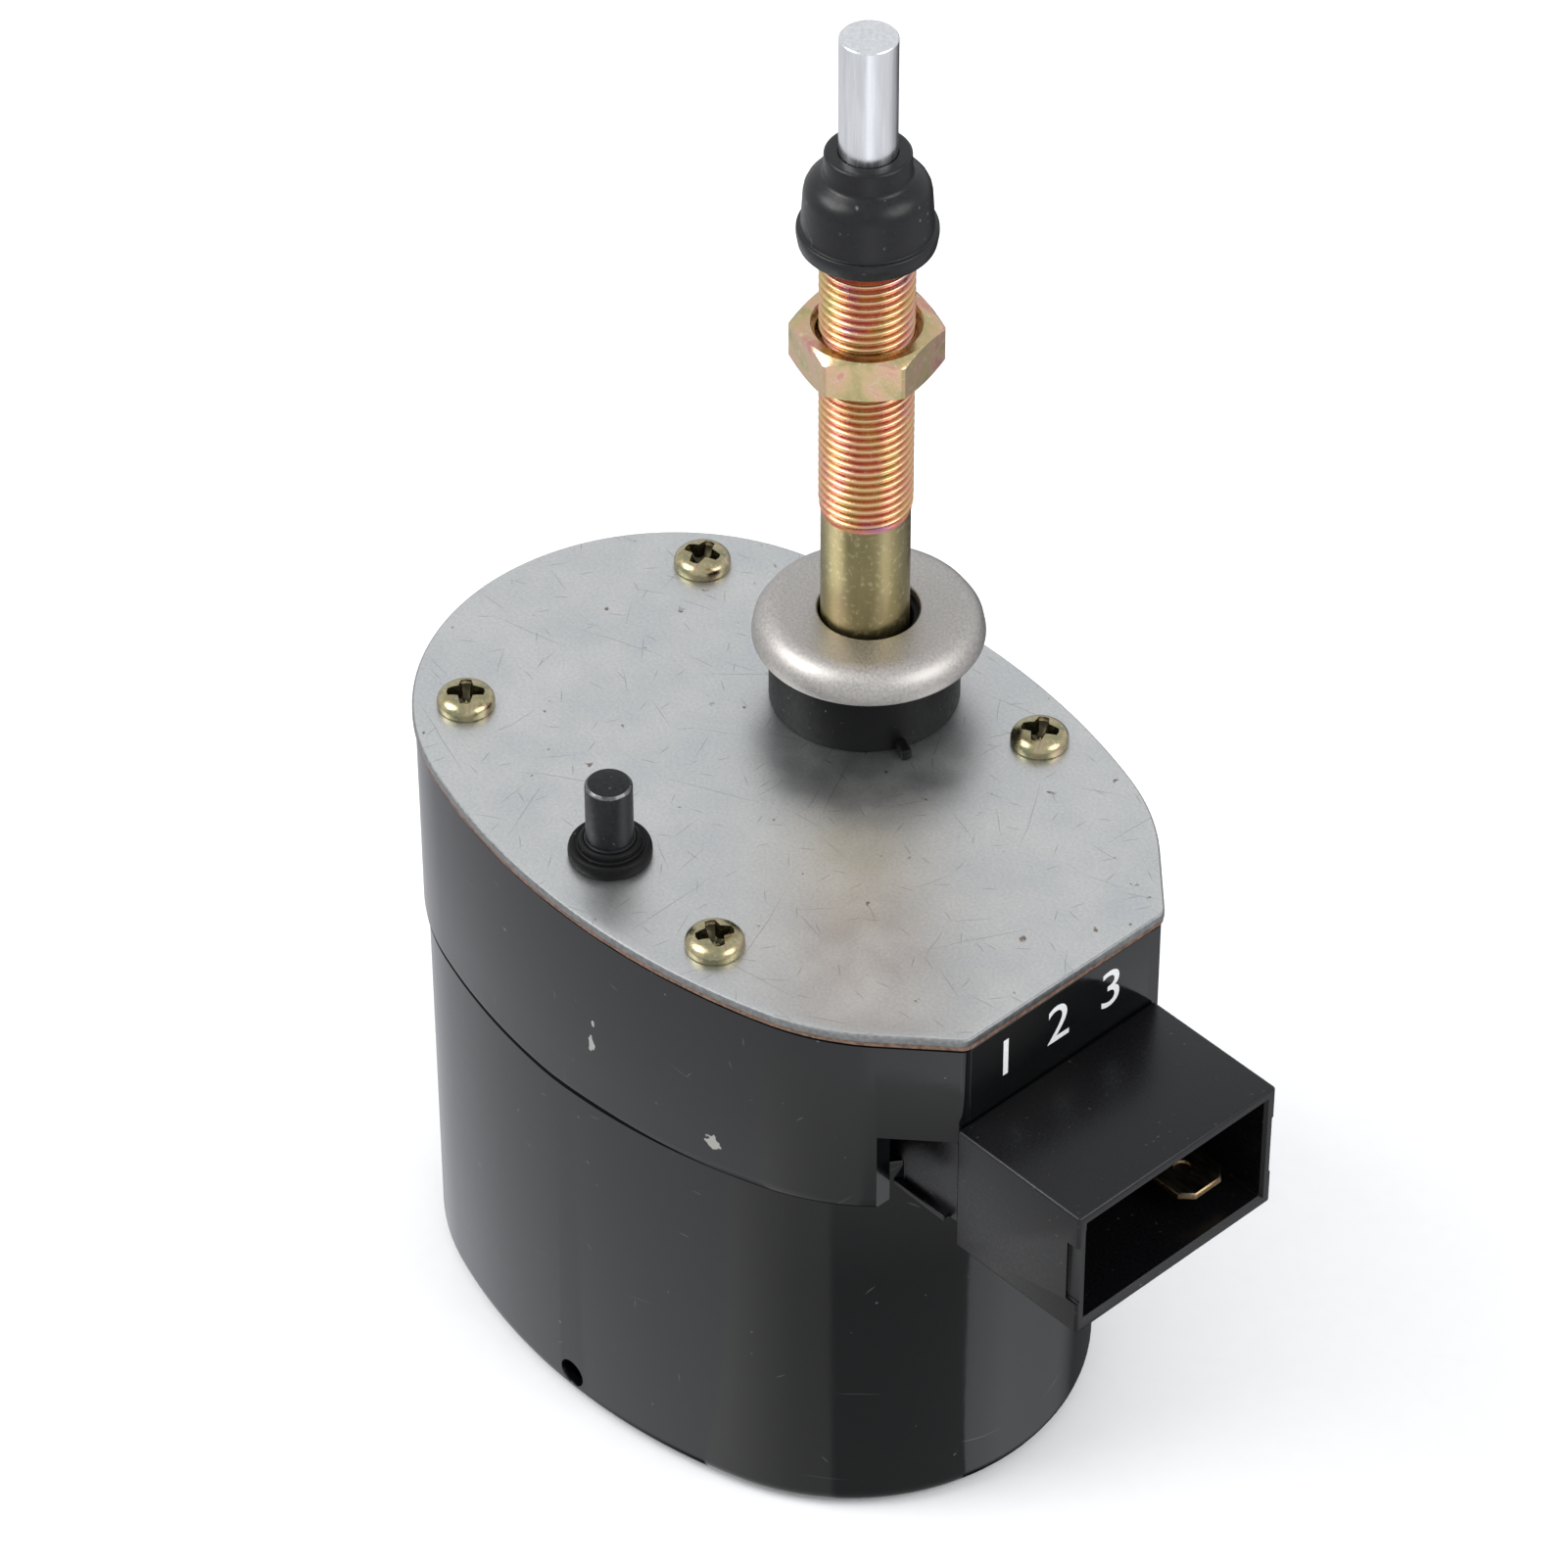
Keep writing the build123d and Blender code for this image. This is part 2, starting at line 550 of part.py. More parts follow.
def locating_pin():
    """Steel pin riveted into the plate, which stops the motor turning on the panel."""
    step = GROMMET_H + COLLAR_H + PIN_STEP
    return turned([
        (0, CASE_TOP), (PIN_FOOT_R + PIN_CHAMFER, CASE_TOP), (PIN_FOOT_R + PIN_CHAMFER, -PLATE_T),
        (PIN_FOOT_R, -PLATE_T), (PIN_FOOT_R, step), (PIN_R, step), (PIN_R, PIN_TOP - PIN_CHAMFER),
        (PIN_R - PIN_CHAMFER, PIN_TOP), (0, PIN_TOP),
    ], (PIN_X, PIN_Y))


def pin_grommet():
    """Rubber grommet at the foot of the locating pin."""
    inner = PIN_FOOT_R + LAP_GAP
    return turned([
        (inner, 0), (GROMMET_R - 0.3, 0), (GROMMET_R, 0.4), (GROMMET_R, GROMMET_H - 0.7),
        (GROMMET_R - 0.7, GROMMET_H), (COLLAR_R, GROMMET_H), (COLLAR_R, GROMMET_H + COLLAR_H - 0.2),
        (COLLAR_R - 0.2, GROMMET_H + COLLAR_H), (inner, GROMMET_H + COLLAR_H),
    ], (PIN_X, PIN_Y))


def tab_places():
    """Middle of each tab: across the socket and its height. The right one sits low, the others high."""
    bottom = CONN_TOP - CONN_H
    return [(CONN_Y - TAB_PITCH, bottom + HIGH_TAB_H), (CONN_Y, bottom + HIGH_TAB_H),
            (CONN_Y + TAB_PITCH, bottom + LOW_TAB_H)]


def tab_span(middle):
    """How far one tab reaches across the socket."""
    return (middle - TAB_W / 2, middle + TAB_W / 2)


def connector_housing():
    """Moulded socket on the flat, with the block behind it that fills the case's cut-away end."""
    low, high = CONN_TOP - CONN_H, CONN_TOP
    y_low, y_high = CONN_Y - CONN_SIDE, CONN_Y + CONN_SIDE
    housing = block((CASE_FLAT_X, MOUTH_X), (y_low, y_high), (low, high))
    housing -= block((SOCKET_FLOOR_X, MOUTH_X + 1), (y_low + CONN_WALL, y_high - CONN_WALL),
                     (low + CONN_WALL, high - CONN_WALL))
    middle = (low + high) / 2
    for side in (y_low, y_high - RELIEF_DEEP):
        housing -= block((MOUTH_X - RELIEF_L, MOUTH_X + 1), (side, side + RELIEF_DEEP),
                         (middle - RELIEF_H / 2, middle + RELIEF_H / 2))
    rear = NOTCH_X + BLOCK_GAP
    body = block((rear, CASE_FLAT_X), (y_low + LIP_OUT, y_high - LIP_OUT),
                 (BLOCK_BOTTOM, NOTCH_TOP - BLOCK_GAP))
    for side in (y_low, y_high - LIP_OUT):
        body += block((rear, CASE_FLAT_X), (side, side + LIP_OUT), (BLOCK_BOTTOM, BLOCK_BOTTOM + LIP_T))
    body -= slab(can_outline(-BLOCK_GAP), BLOCK_BOTTOM - 1, CAN_TOP + BLOCK_GAP)
    body = body & slab(oval(-LIP_OUT), BLOCK_BOTTOM - 1, NOTCH_TOP)
    housing = housing + body
    for y, z in tab_places():
        housing -= block((SOCKET_FLOOR_X - TAB_BACK, SOCKET_FLOOR_X + 1), tab_span(y),
                         (z - TAB_T / 2, z + TAB_T / 2))
    return housing


def terminal_tabs():
    """Three blade tabs with bevelled tips and a dimple."""
    tip = MOUTH_X - TAB_TIP_IN
    tabs = []
    for y, z in tab_places():
        low, high = tab_span(y)
        rear = SOCKET_FLOOR_X - TAB_BACK
        blade = Polyline((rear, low), (tip - TAB_CHAMFER, low), (tip, low + TAB_CHAMFER),
                         (tip, high - TAB_CHAMFER), (tip - TAB_CHAMFER, high), (rear, high), close=True)
        tab = slab(make_face(blade), z - TAB_T / 2, z + TAB_T / 2)
        dimple_at = (tip - TAB_W * 0.6, y)
        tabs.append(tab - cyl(DIMPLE_R, z + TAB_T / 2 - DIMPLE_DEEP, z + TAB_T, dimple_at))
    return Compound(tabs)


def output_shaft():
    """Ground steel shaft from the lever up through the sleeve, with a groove for its clip."""
    groove_r, clip_top = JOURNAL_R - CLIP_BITE, CLIP_BOTTOM + CLIP_T
    free_end = BOOT_BOTTOM + BOOT_H + BOOT_GAP
    return turned([
        (0, LEVER_BOTTOM), (JOURNAL_R, LEVER_BOTTOM), (JOURNAL_R, CLIP_BOTTOM), (groove_r, CLIP_BOTTOM),
        (groove_r, clip_top), (JOURNAL_R, clip_top), (JOURNAL_R, free_end), (SHAFT_R, free_end),
        (SHAFT_R, SHAFT_TOP - SHAFT_CHAMFER), (SHAFT_R - SHAFT_CHAMFER, SHAFT_TOP), (0, SHAFT_TOP),
    ])


def output_lever():
    """Steel lever pressed on the shaft's lower end."""
    arm = link_outline(OUTPUT_AXIS, LEVER_HUB_R, LEVER_PIN, LEVER_END_R, 2 * LEVER_END_R)
    lever = slab(arm, LEVER_BOTTOM, LEVER_BOTTOM + LEVER_T)
    lever += cyl(LEVER_HUB_R, LEVER_BOTTOM, LEVER_TOP)
    lever -= cyl(JOURNAL_R, LEVER_BOTTOM - 1, LEVER_TOP + 1)
    return lever - cyl(LEVER_PIN_R, LEVER_BOTTOM - 1, LEVER_TOP, LEVER_PIN)


def lever_pin():
    """Pin riveted into the lever's end, whose foot stops just above the rod's eye."""
    return cyl(LEVER_PIN_R, ROD_TOP + GEAR_GAP / 2, LEVER_BOTTOM + LEVER_T, LEVER_PIN)


def connecting_rod():
    """Flat rod from the crank pin to the lever."""
    outline = link_outline(CRANK_PIN, ROD_EYE_R, LEVER_PIN, ROD_EYE_R, ROD_W)
    rod = slab(outline, ROD_BOTTOM, ROD_TOP)
    for eye in (CRANK_PIN, LEVER_PIN):
        rod -= cyl(CRANK_PIN_R + BUSH_GAP, ROD_BOTTOM - 1, ROD_TOP + 1, eye)
    return rod


def drive_gear():
    """Moulded drive gear with a boss for the crank pin."""
    outline = gear_outline(DRIVE_TEETH, DRIVE_MODULE, 0.75, 1.2, IDLER_TURN + 180 / DRIVE_TEETH)
    gear = slab(outline, DRIVE_BOTTOM, DRIVE_TOP)
    gear -= cyl(DRIVE_STUD_R + BUSH_GAP, DRIVE_BOTTOM - 1, DRIVE_TOP + 1)
    gear = Pos(*DRIVE_AXIS) * gear
    gear += cyl(CRANK_BOSS_R, DRIVE_TOP, ROD_BOTTOM - GEAR_GAP / 2, CRANK_PIN)
    return gear - cyl(CRANK_PIN_R, DRIVE_BOTTOM - 1, ROD_BOTTOM, CRANK_PIN)


def park_ring():
    """Brass ring on the drive gear, broken where the motor parks."""
    band = tube(PARK_RING_OUT, PARK_RING_IN, DRIVE_TOP, DRIVE_TOP + PARK_RING_T, DRIVE_AXIS)
    gap = radians(PARK_BREAK / 2)
    far = 2 * PARK_RING_OUT
    side = far * sin(gap) / cos(gap)
    wedge = make_face(Polyline((0, 0), (far, -side), (far, side), close=True))
    return band - Pos(*DRIVE_AXIS) * Rot(0, 0, LEVER_TURN + 180) * slab(wedge, DRIVE_TOP - 1, DRIVE_TOP + 1)


def idler_wheel():
    """Large wheel of the idler, driven by the armature's pinion."""
    turn = MOTOR_TURN + 180 / WHEEL_TEETH
    wheel = slab(gear_outline(WHEEL_TEETH, WHEEL_MODULE, 0.75, 1.2, turn), WHEEL_BOTTOM, WHEEL_TOP)
    hub = cyl(DRIVE_MODULE * (IDLER_TEETH / 2 - 1.2), WHEEL_BOTTOM - 1, WHEEL_TOP + 1)
    return Pos(*IDLER_AXIS) * (wheel - hub)


def idler_pinion():
    """Steel pinion through the idler's wheel, in mesh with the drive gear."""
    root_r = DRIVE_MODULE * (IDLER_TEETH / 2 - 1.2)
    teeth = slab(gear_outline(IDLER_TEETH, DRIVE_MODULE, 0.8, 1.2, IDLER_TURN + 180), WHEEL_TOP, DRIVE_TOP)
    pinion = teeth + cyl(root_r, WHEEL_BOTTOM, WHEEL_TOP)
    return Pos(*IDLER_AXIS) * (pinion - cyl(IDLER_STUD_R + BUSH_GAP, WHEEL_BOTTOM - 1, DRIVE_TOP + 1))


def motor_pinion():
    """Armature's pinion, pressed on the shaft's thin upper end."""
    outline = gear_outline(PINION_TEETH, WHEEL_MODULE, 0.8, 1.2, MOTOR_TURN + 180)
    pinion = slab(outline, WHEEL_BOTTOM, WHEEL_TOP)
    return Pos(*MOTOR_AXIS) * (pinion - cyl(PINION_SHAFT_R, WHEEL_BOTTOM - 1, WHEEL_TOP + 1))


def park_contacts():
    """Two sprung fingers over the parking ring, held in the carrier at the case's wall."""
    fingers = []
    for side in FINGER_SIDES:
        y = DRIVE_AXIS[1] + side
        x_end = DRIVE_AXIS[0] + sqrt(PARK_RING_IN ** 2 - side ** 2)
        fingers.append(block((x_end, carrier_x()[0]), (y - FINGER_W / 2, y + FINGER_W / 2),
                             (FINGER_BOTTOM, FINGER_BOTTOM + FINGER_T)))
    return Compound(fingers)


def carrier_x():
    """How far the contact carrier reaches along X, from its free end to the chamber's flat wall."""
    wall = FLAT_X - CASE_INSET - CASE_WALL
    return (wall - CARRIER_L, wall)


def contact_carrier():
    """Insulating block on the chamber's end wall that holds the parking contacts."""
    middle = DRIVE_AXIS[1] + sum(FINGER_SIDES) / 2
    low = NOTCH_TOP + BLOCK_GAP
    return block(carrier_x(), (middle - CARRIER_W / 2, middle + CARRIER_W / 2), (low, low + CARRIER_H))


def motor_yoke():
    """Drawn steel cup that carries the magnets, hung by its flange under the case's floor."""
    yoke = turned([
        (YOKE_R - YOKE_T, CAN_TOP), (YOKE_FLANGE_R, CAN_TOP), (YOKE_FLANGE_R, CAN_TOP - YOKE_T),
        (YOKE_R, CAN_TOP - YOKE_T), (YOKE_R, YOKE_BOTTOM), (BEARING_R, YOKE_BOTTOM),
        (BEARING_R, YOKE_FLOOR), (YOKE_R - YOKE_T, YOKE_FLOOR),
    ], MOTOR_AXIS)
    yoke = yoke & slab(can_outline(CAN_T + LAP_GAP), CAN_BOTTOM, CAN_TOP)
    for place in motor_screw_places():
        yoke -= cyl(MOTOR_SCREW_R, CAN_TOP - 2 * YOKE_T, CAN_TOP + 1, place)
    return yoke


def motor_screws():
    """Two small screws up through the yoke's flange into the case's floor."""
    low = CAN_TOP - YOKE_T
    screws = []
    for place in motor_screw_places():
        head = cyl(MOTOR_SCREW_HEAD_R, low - MOTOR_SCREW_HEAD_H, low, place)
        head -= cyl(YOKE_R, low - MOTOR_SCREW_HEAD_H - 1, low + 1, MOTOR_AXIS)
        screws.append(head + cyl(MOTOR_SCREW_R, low, CHAMBER_FLOOR, place))
    return Compound(screws)


def motor_magnets():
    """Two curved magnets bonded inside the yoke."""
    outer = YOKE_R - YOKE_T
    low = YOKE_FLOOR + MAGNET_UP
    band = tube(outer, outer - MAGNET_T, low, low + MAGNET_L)
    start, end = (polar(OUTPUT_AXIS, 3 * outer, side * MAGNET_TURN / 2) for side in (-1, 1))
    sector = make_face(Polyline(OUTPUT_AXIS, start, end, close=True))
    magnets = [Rot(0, 0, turn) * slab(sector, low, low + MAGNET_L) & band for turn in (0, 180)]
    return Compound([Pos(*MOTOR_AXIS) * magnet for magnet in magnets])


def armature_shaft():
    """Motor shaft from its lower bearing to the pinion in the gear chamber."""
    return turned([
        (0, BEARING_BOTTOM + YOKE_T), (ARM_SHAFT_R, BEARING_BOTTOM + YOKE_T), (ARM_SHAFT_R, CHAMBER_FLOOR),
        (PINION_SHAFT_R, CHAMBER_FLOOR), (PINION_SHAFT_R, WHEEL_TOP), (0, WHEEL_TOP),
    ], MOTOR_AXIS)


def armature_core():
    """Stack of laminations with a slot for each coil."""
    core = cyl(CORE_R, CORE_BOTTOM, CORE_BOTTOM + CORE_L)
    for n in range(CORE_SLOTS):
        slot = block((CORE_R - SLOT_DEEP, CORE_R + 1), (-SLOT_W / 2, SLOT_W / 2),
                     (CORE_BOTTOM - 1, CORE_BOTTOM + CORE_L + 1))
        core -= Rot(0, 0, n * 360 / CORE_SLOTS) * slot
    return Pos(*MOTOR_AXIS) * (core - cyl(ARM_SHAFT_R, CORE_BOTTOM - 1, CORE_BOTTOM + CORE_L + 1))


def armature_winding():
    """The coils' end turns above and below the core, joined through its slots."""
    outer, inner = CORE_R - 1.0, ARM_SHAFT_R + 1.5
    top = CORE_BOTTOM + CORE_L
    winding = tube(outer, inner, CORE_BOTTOM - WINDING_PROUD, CORE_BOTTOM)
    winding += tube(outer, inner, top, top + WINDING_PROUD)
    for n in range(CORE_SLOTS):
        bar = block((CORE_R - SLOT_DEEP, CORE_R - 1.5), (-SLOT_W / 2, SLOT_W / 2), (CORE_BOTTOM, top))
        winding += Rot(0, 0, n * 360 / CORE_SLOTS) * bar
    return Pos(*MOTOR_AXIS) * winding


def commutator():
    """Copper bars round an insulating hub, parted by fine slots."""
    drum = tube(COMM_R, ARM_SHAFT_R, COMM_BOTTOM, COMM_TOP)
    for n in range(COMM_BARS):
        cut = block((COMM_R - 0.6, COMM_R + 1), (-0.25, 0.25), (COMM_BOTTOM - 1, COMM_TOP + 1))
        drum -= Rot(0, 0, n * 360 / COMM_BARS) * cut
    return Pos(*MOTOR_AXIS) * drum


def brush_place(inner, length, height, turn):
    """A box that lies radially over the commutator's side at one of the two brush stations."""
    half_w = BRUSH_W / 2 + height
    box = block((inner, inner + length), (-half_w, half_w),
                (BRUSH_TOP - BRUSH_H - height, BRUSH_TOP + height))
    return Pos(*MOTOR_AXIS) * Rot(0, 0, turn) * box


def carbon_brushes():
    """Two carbon brushes on opposite sides of the commutator."""
    return Compound([brush_place(COMM_R + BRUSH_GAP, BRUSH_L, 0, turn) for turn in (90, 270)])


def brush_springs():
    """Spring behind each brush, drawn as the short block that the pressed coils fill."""
    start = COMM_R + BRUSH_GAP + BRUSH_L
    return Compound([brush_place(start, SPRING_T, -BRUSH_GAP - 0.5, turn) for turn in (90, 270)])


def brush_plate():
    """Insulating plate under the case's floor with a sleeve for each brush."""
    high = CAN_TOP - BRUSH_PLATE_DROP
    plate = tube(YOKE_R - YOKE_T, COMM_R + 1.0, high - BRUSH_PLATE_T, high, MOTOR_AXIS)
    inner = COMM_R + 1.0
    for turn in (90, 270):
        sleeve = brush_place(inner, HOLDER_L, BRUSH_GAP + HOLDER_T, turn)
        plate = plate + sleeve - brush_place(inner - 1, HOLDER_L, BRUSH_GAP, turn)
    return plate


def upper_bearing():
    """Armature's upper bearing, pressed into the case's floor."""
    low = CAN_TOP - BRUSH_PLATE_DROP
    return tube(BEARING_R, ARM_SHAFT_R + BUSH_GAP, low, CHAMBER_FLOOR, MOTOR_AXIS)


def lower_bearing():
    """Armature's lower bearing, a closed bush in the yoke's floor that also takes the thrust."""
    bush = cyl(BEARING_R, BEARING_BOTTOM, BEARING_BOTTOM + BEARING_L, MOTOR_AXIS)
    shaft_end = BEARING_BOTTOM + YOKE_T
    return bush - cyl(ARM_SHAFT_R + BUSH_GAP, shaft_end, shaft_end + BEARING_L, MOTOR_AXIS)


def retaining_clip():
    """Open spring clip in the shaft's groove."""
    clip = tube(CLIP_R, JOURNAL_R - CLIP_BITE, CLIP_BOTTOM, CLIP_BOTTOM + CLIP_T)
    return clip - block((0, CLIP_R + 1), (-1, 1), (CLIP_BOTTOM - 1, CLIP_BOTTOM + CLIP_T + 1))


PARTS = {
    "cover_plate": cover_plate,
    "cover_gasket": gasket,
    "gear_case": gear_case,
    "motor_can": motor_can,
    "cover_screws": cover_screws,
    "shaft_sleeve": shaft_sleeve,
    "lower_shaft_bush": lambda: shaft_bush(SLEEVE_BOTTOM),
    "upper_shaft_bush": lambda: shaft_bush(SLEEVE_TOP - BUSH_L),
    "seal_ring": seal_ring,
    "cup_washer": cup_washer,
    "mounting_nut": mounting_nut,
    "sleeve_boot": sleeve_boot,
    "locating_pin": locating_pin,
    "pin_grommet": pin_grommet,
    "connector_housing": connector_housing,
    "terminal_tabs": terminal_tabs,
    "output_shaft": output_shaft,
    "output_lever": output_lever,
    "lever_pin": lever_pin,
    "retaining_clip": retaining_clip,
    "end_washer": lambda: tube(END_WASHER_R, JOURNAL_R + BUSH_GAP, SLEEVE_TOP, SLEEVE_TOP + END_WASHER_T),
    "thrust_washer": lambda: tube(THRUST_R, JOURNAL_R + BUSH_GAP, SLEEVE_BOTTOM - THRUST_T, SLEEVE_BOTTOM),
    "connecting_rod": connecting_rod,
    "drive_gear": drive_gear,
    "crank_pin": lambda: cyl(CRANK_PIN_R, DRIVE_BOTTOM, CRANK_PIN_TOP, CRANK_PIN),
    "park_ring": park_ring,
    "drive_stud": lambda: cyl(DRIVE_STUD_R, CAN_TOP, DRIVE_TOP + PARK_RING_T, DRIVE_AXIS),
    "idler_wheel": idler_wheel,
    "idler_pinion": idler_pinion,
    "idler_stud": lambda: cyl(IDLER_STUD_R, CAN_TOP, DRIVE_TOP + PARK_RING_T, IDLER_AXIS),
    "motor_pinion": motor_pinion,
    "park_contacts": park_contacts,
    "contact_carrier": contact_carrier,
    "motor_yoke": motor_yoke,
    "motor_screws": motor_screws,
    "motor_magnets": motor_magnets,
    "armature_shaft": armature_shaft,
    "armature_core": armature_core,
    "armature_winding": armature_winding,
    "commutator": commutator,
    "carbon_brushes": carbon_brushes,
    "brush_springs": brush_springs,
    "brush_plate": brush_plate,
    "upper_bearing": upper_bearing,
    "lower_bearing": lower_bearing,
}

os.makedirs("parts", exist_ok=True)
for name, make in PARTS.items():
    export_step(make(), "parts/" + name + ".step")
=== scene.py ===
import json
from math import acos, cos, hypot, pi, radians, sin, sqrt, tan

import bmesh
import bpy
from mathutils import Matrix, Vector, noise


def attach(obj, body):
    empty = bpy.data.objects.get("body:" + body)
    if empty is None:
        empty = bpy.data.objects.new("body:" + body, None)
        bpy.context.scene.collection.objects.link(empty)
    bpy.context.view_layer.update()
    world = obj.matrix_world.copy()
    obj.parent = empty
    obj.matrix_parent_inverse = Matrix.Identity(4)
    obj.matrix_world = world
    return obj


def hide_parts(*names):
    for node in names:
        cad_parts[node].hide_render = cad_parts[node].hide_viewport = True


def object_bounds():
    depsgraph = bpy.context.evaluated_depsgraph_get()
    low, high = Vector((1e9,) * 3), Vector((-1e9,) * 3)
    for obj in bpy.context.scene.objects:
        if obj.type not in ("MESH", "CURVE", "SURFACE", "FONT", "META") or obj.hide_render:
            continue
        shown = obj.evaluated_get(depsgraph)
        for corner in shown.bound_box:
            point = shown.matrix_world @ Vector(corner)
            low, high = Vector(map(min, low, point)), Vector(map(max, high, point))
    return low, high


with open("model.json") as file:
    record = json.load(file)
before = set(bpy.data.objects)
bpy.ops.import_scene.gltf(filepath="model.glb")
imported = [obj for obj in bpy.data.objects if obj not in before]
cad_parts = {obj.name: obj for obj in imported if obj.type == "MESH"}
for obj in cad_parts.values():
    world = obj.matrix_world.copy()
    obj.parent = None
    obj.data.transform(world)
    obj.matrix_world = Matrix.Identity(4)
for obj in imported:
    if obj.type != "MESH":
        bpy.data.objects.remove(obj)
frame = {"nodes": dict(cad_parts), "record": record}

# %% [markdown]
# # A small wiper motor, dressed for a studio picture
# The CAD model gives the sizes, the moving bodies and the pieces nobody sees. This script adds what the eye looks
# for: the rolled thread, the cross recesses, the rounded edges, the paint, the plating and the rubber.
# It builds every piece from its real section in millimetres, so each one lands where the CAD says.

MM = 0.001
cad_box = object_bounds()


def placed(name, data):
    """A new object, put in the scene."""
    made = bpy.data.objects.new(name, data)
    bpy.context.collection.objects.link(made)
    return made


print("CAD box in mm", [[round(v / MM, 2) for v in corner] for corner in cad_box])

# %% [markdown]
# ## Camera, floor and light
# The picture was taken from above the connector's left corner with a long lens, so uprights hardly converge.
# A camera can be aimed with a Track To constraint, but here its three axes are known, so they go straight into
# its matrix. The floor lies under the can. Two soft lamps and a pale world stand in for a studio tent.
# Upright gloss walls seen from above mirror what stood on the table, bright at the left and dark where the camera
# stood. The floor can't show that, so gloss looks past it into the lower half of the world, which holds those tones,
# and at one glowing card beside the can, which paints the table's shade in as a reflection.

# %% Camera
camera = placed("camera", bpy.data.cameras.new("camera"))
camera.data.sensor_width = 36.0
camera.data.lens = 157.4
across, upward, back = (0.68110, 0.73219, -0.00241), (-0.48313, 0.45189, 0.74992), (0.55017, -0.50961, 0.66153)
camera.matrix_world = Matrix.Translation(Vector((398.15, -380.44, 472.38)) * MM) @ Matrix(
    (across, upward, back)).transposed().to_4x4()
bpy.context.scene.camera = camera
bpy.context.scene.view_settings.view_transform = "Standard"
print("camera", round(camera.location.length, 3), "m from the shaft's foot, lens", camera.data.lens)

# %% [markdown]
# ## Colours and nodes
# Paint charts and photographs give colours as sRGB hex values. Shaders want linear light, so one function turns
# one into the other. One more function adds a node, sets it up and wires it, which keeps each material short.

# %% Colour and node helpers
def hex_colour(code):
    """An sRGB hex colour as linear red, green, blue and full alpha."""
    parts = [int(code[i:i + 2], 16) / 255 for i in (1, 3, 5)]
    return tuple(c / 12.92 if c <= 0.04045 else ((c + 0.055) / 1.055) ** 2.4 for c in parts) + (1.0,)


def add(tree, kind, inputs=None, stops=None, **settings):
    """Adds a node. Settings are its own properties; an input takes a value, or another node's socket."""
    node = tree.nodes.new(kind)
    for key, value in settings.items():
        setattr(node, key, value)
    for key, value in (inputs or {}).items():
        if isinstance(value, bpy.types.NodeSocket):
            tree.links.new(value, node.inputs[key])
        else:
            node.inputs[key].default_value = value
    if stops:
        ramp = node.color_ramp.elements
        for place, _ in stops[1:-1]:
            ramp.new(place)
        for element, (place, colour) in zip(ramp, stops):
            element.position = place
            element.color = hex_colour(colour) if isinstance(colour, str) else (colour, colour, colour, 1.0)
    return node


def material(name, **constants):
    """An empty node material with its shader and object coordinates, which are metres from the origin."""
    made = bpy.data.materials.new(name)
    made.use_nodes = True
    tree = made.node_tree
    tree.nodes.clear()
    shader = add(tree, "ShaderNodeBsdfPrincipled", {k.replace("_", " "): v for k, v in constants.items()})
    add(tree, "ShaderNodeOutputMaterial", {"Surface": shader.outputs["BSDF"]})
    place = add(tree, "ShaderNodeTexCoord").outputs["Object"]
    print("material", name)
    return made, tree, shader, place


def per_metre(feature_mm):
    """Noise changes once per unit of its scale, so a feature of this many millimetres needs this scale."""
    return 1 / (feature_mm * MM)


print("mid grey in linear light", round(hex_colour("#808080")[0], 4))

# %% Floor, world and lamps
def flat_floor():
    mesh = bpy.data.meshes.new("floor")
    low = cad_box[0].z - 0.05 * MM
    mesh.from_pydata([(x, y, low) for x, y in ((-3, -3), (3, -3), (3, 3), (-3, 3))], [], [(0, 1, 2, 3)])
    floor = placed("floor", mesh)
    made, tree, shader, place = material("matt_white_paper", Roughness=0.9)
    fibre = add(tree, "ShaderNodeTexNoise", {"Vector": place, "Scale": per_metre(2), "Detail": 2.0})
    tone = add(tree, "ShaderNodeValToRGB", {"Fac": fibre.outputs["Fac"]}, stops=[(0.3, "#fbfbfb"), (0.7, "#fdfdfd")])
    tree.links.new(tone.outputs["Color"], shader.inputs["Base Color"])
    mesh.materials.append(made)
    floor.visible_glossy = False


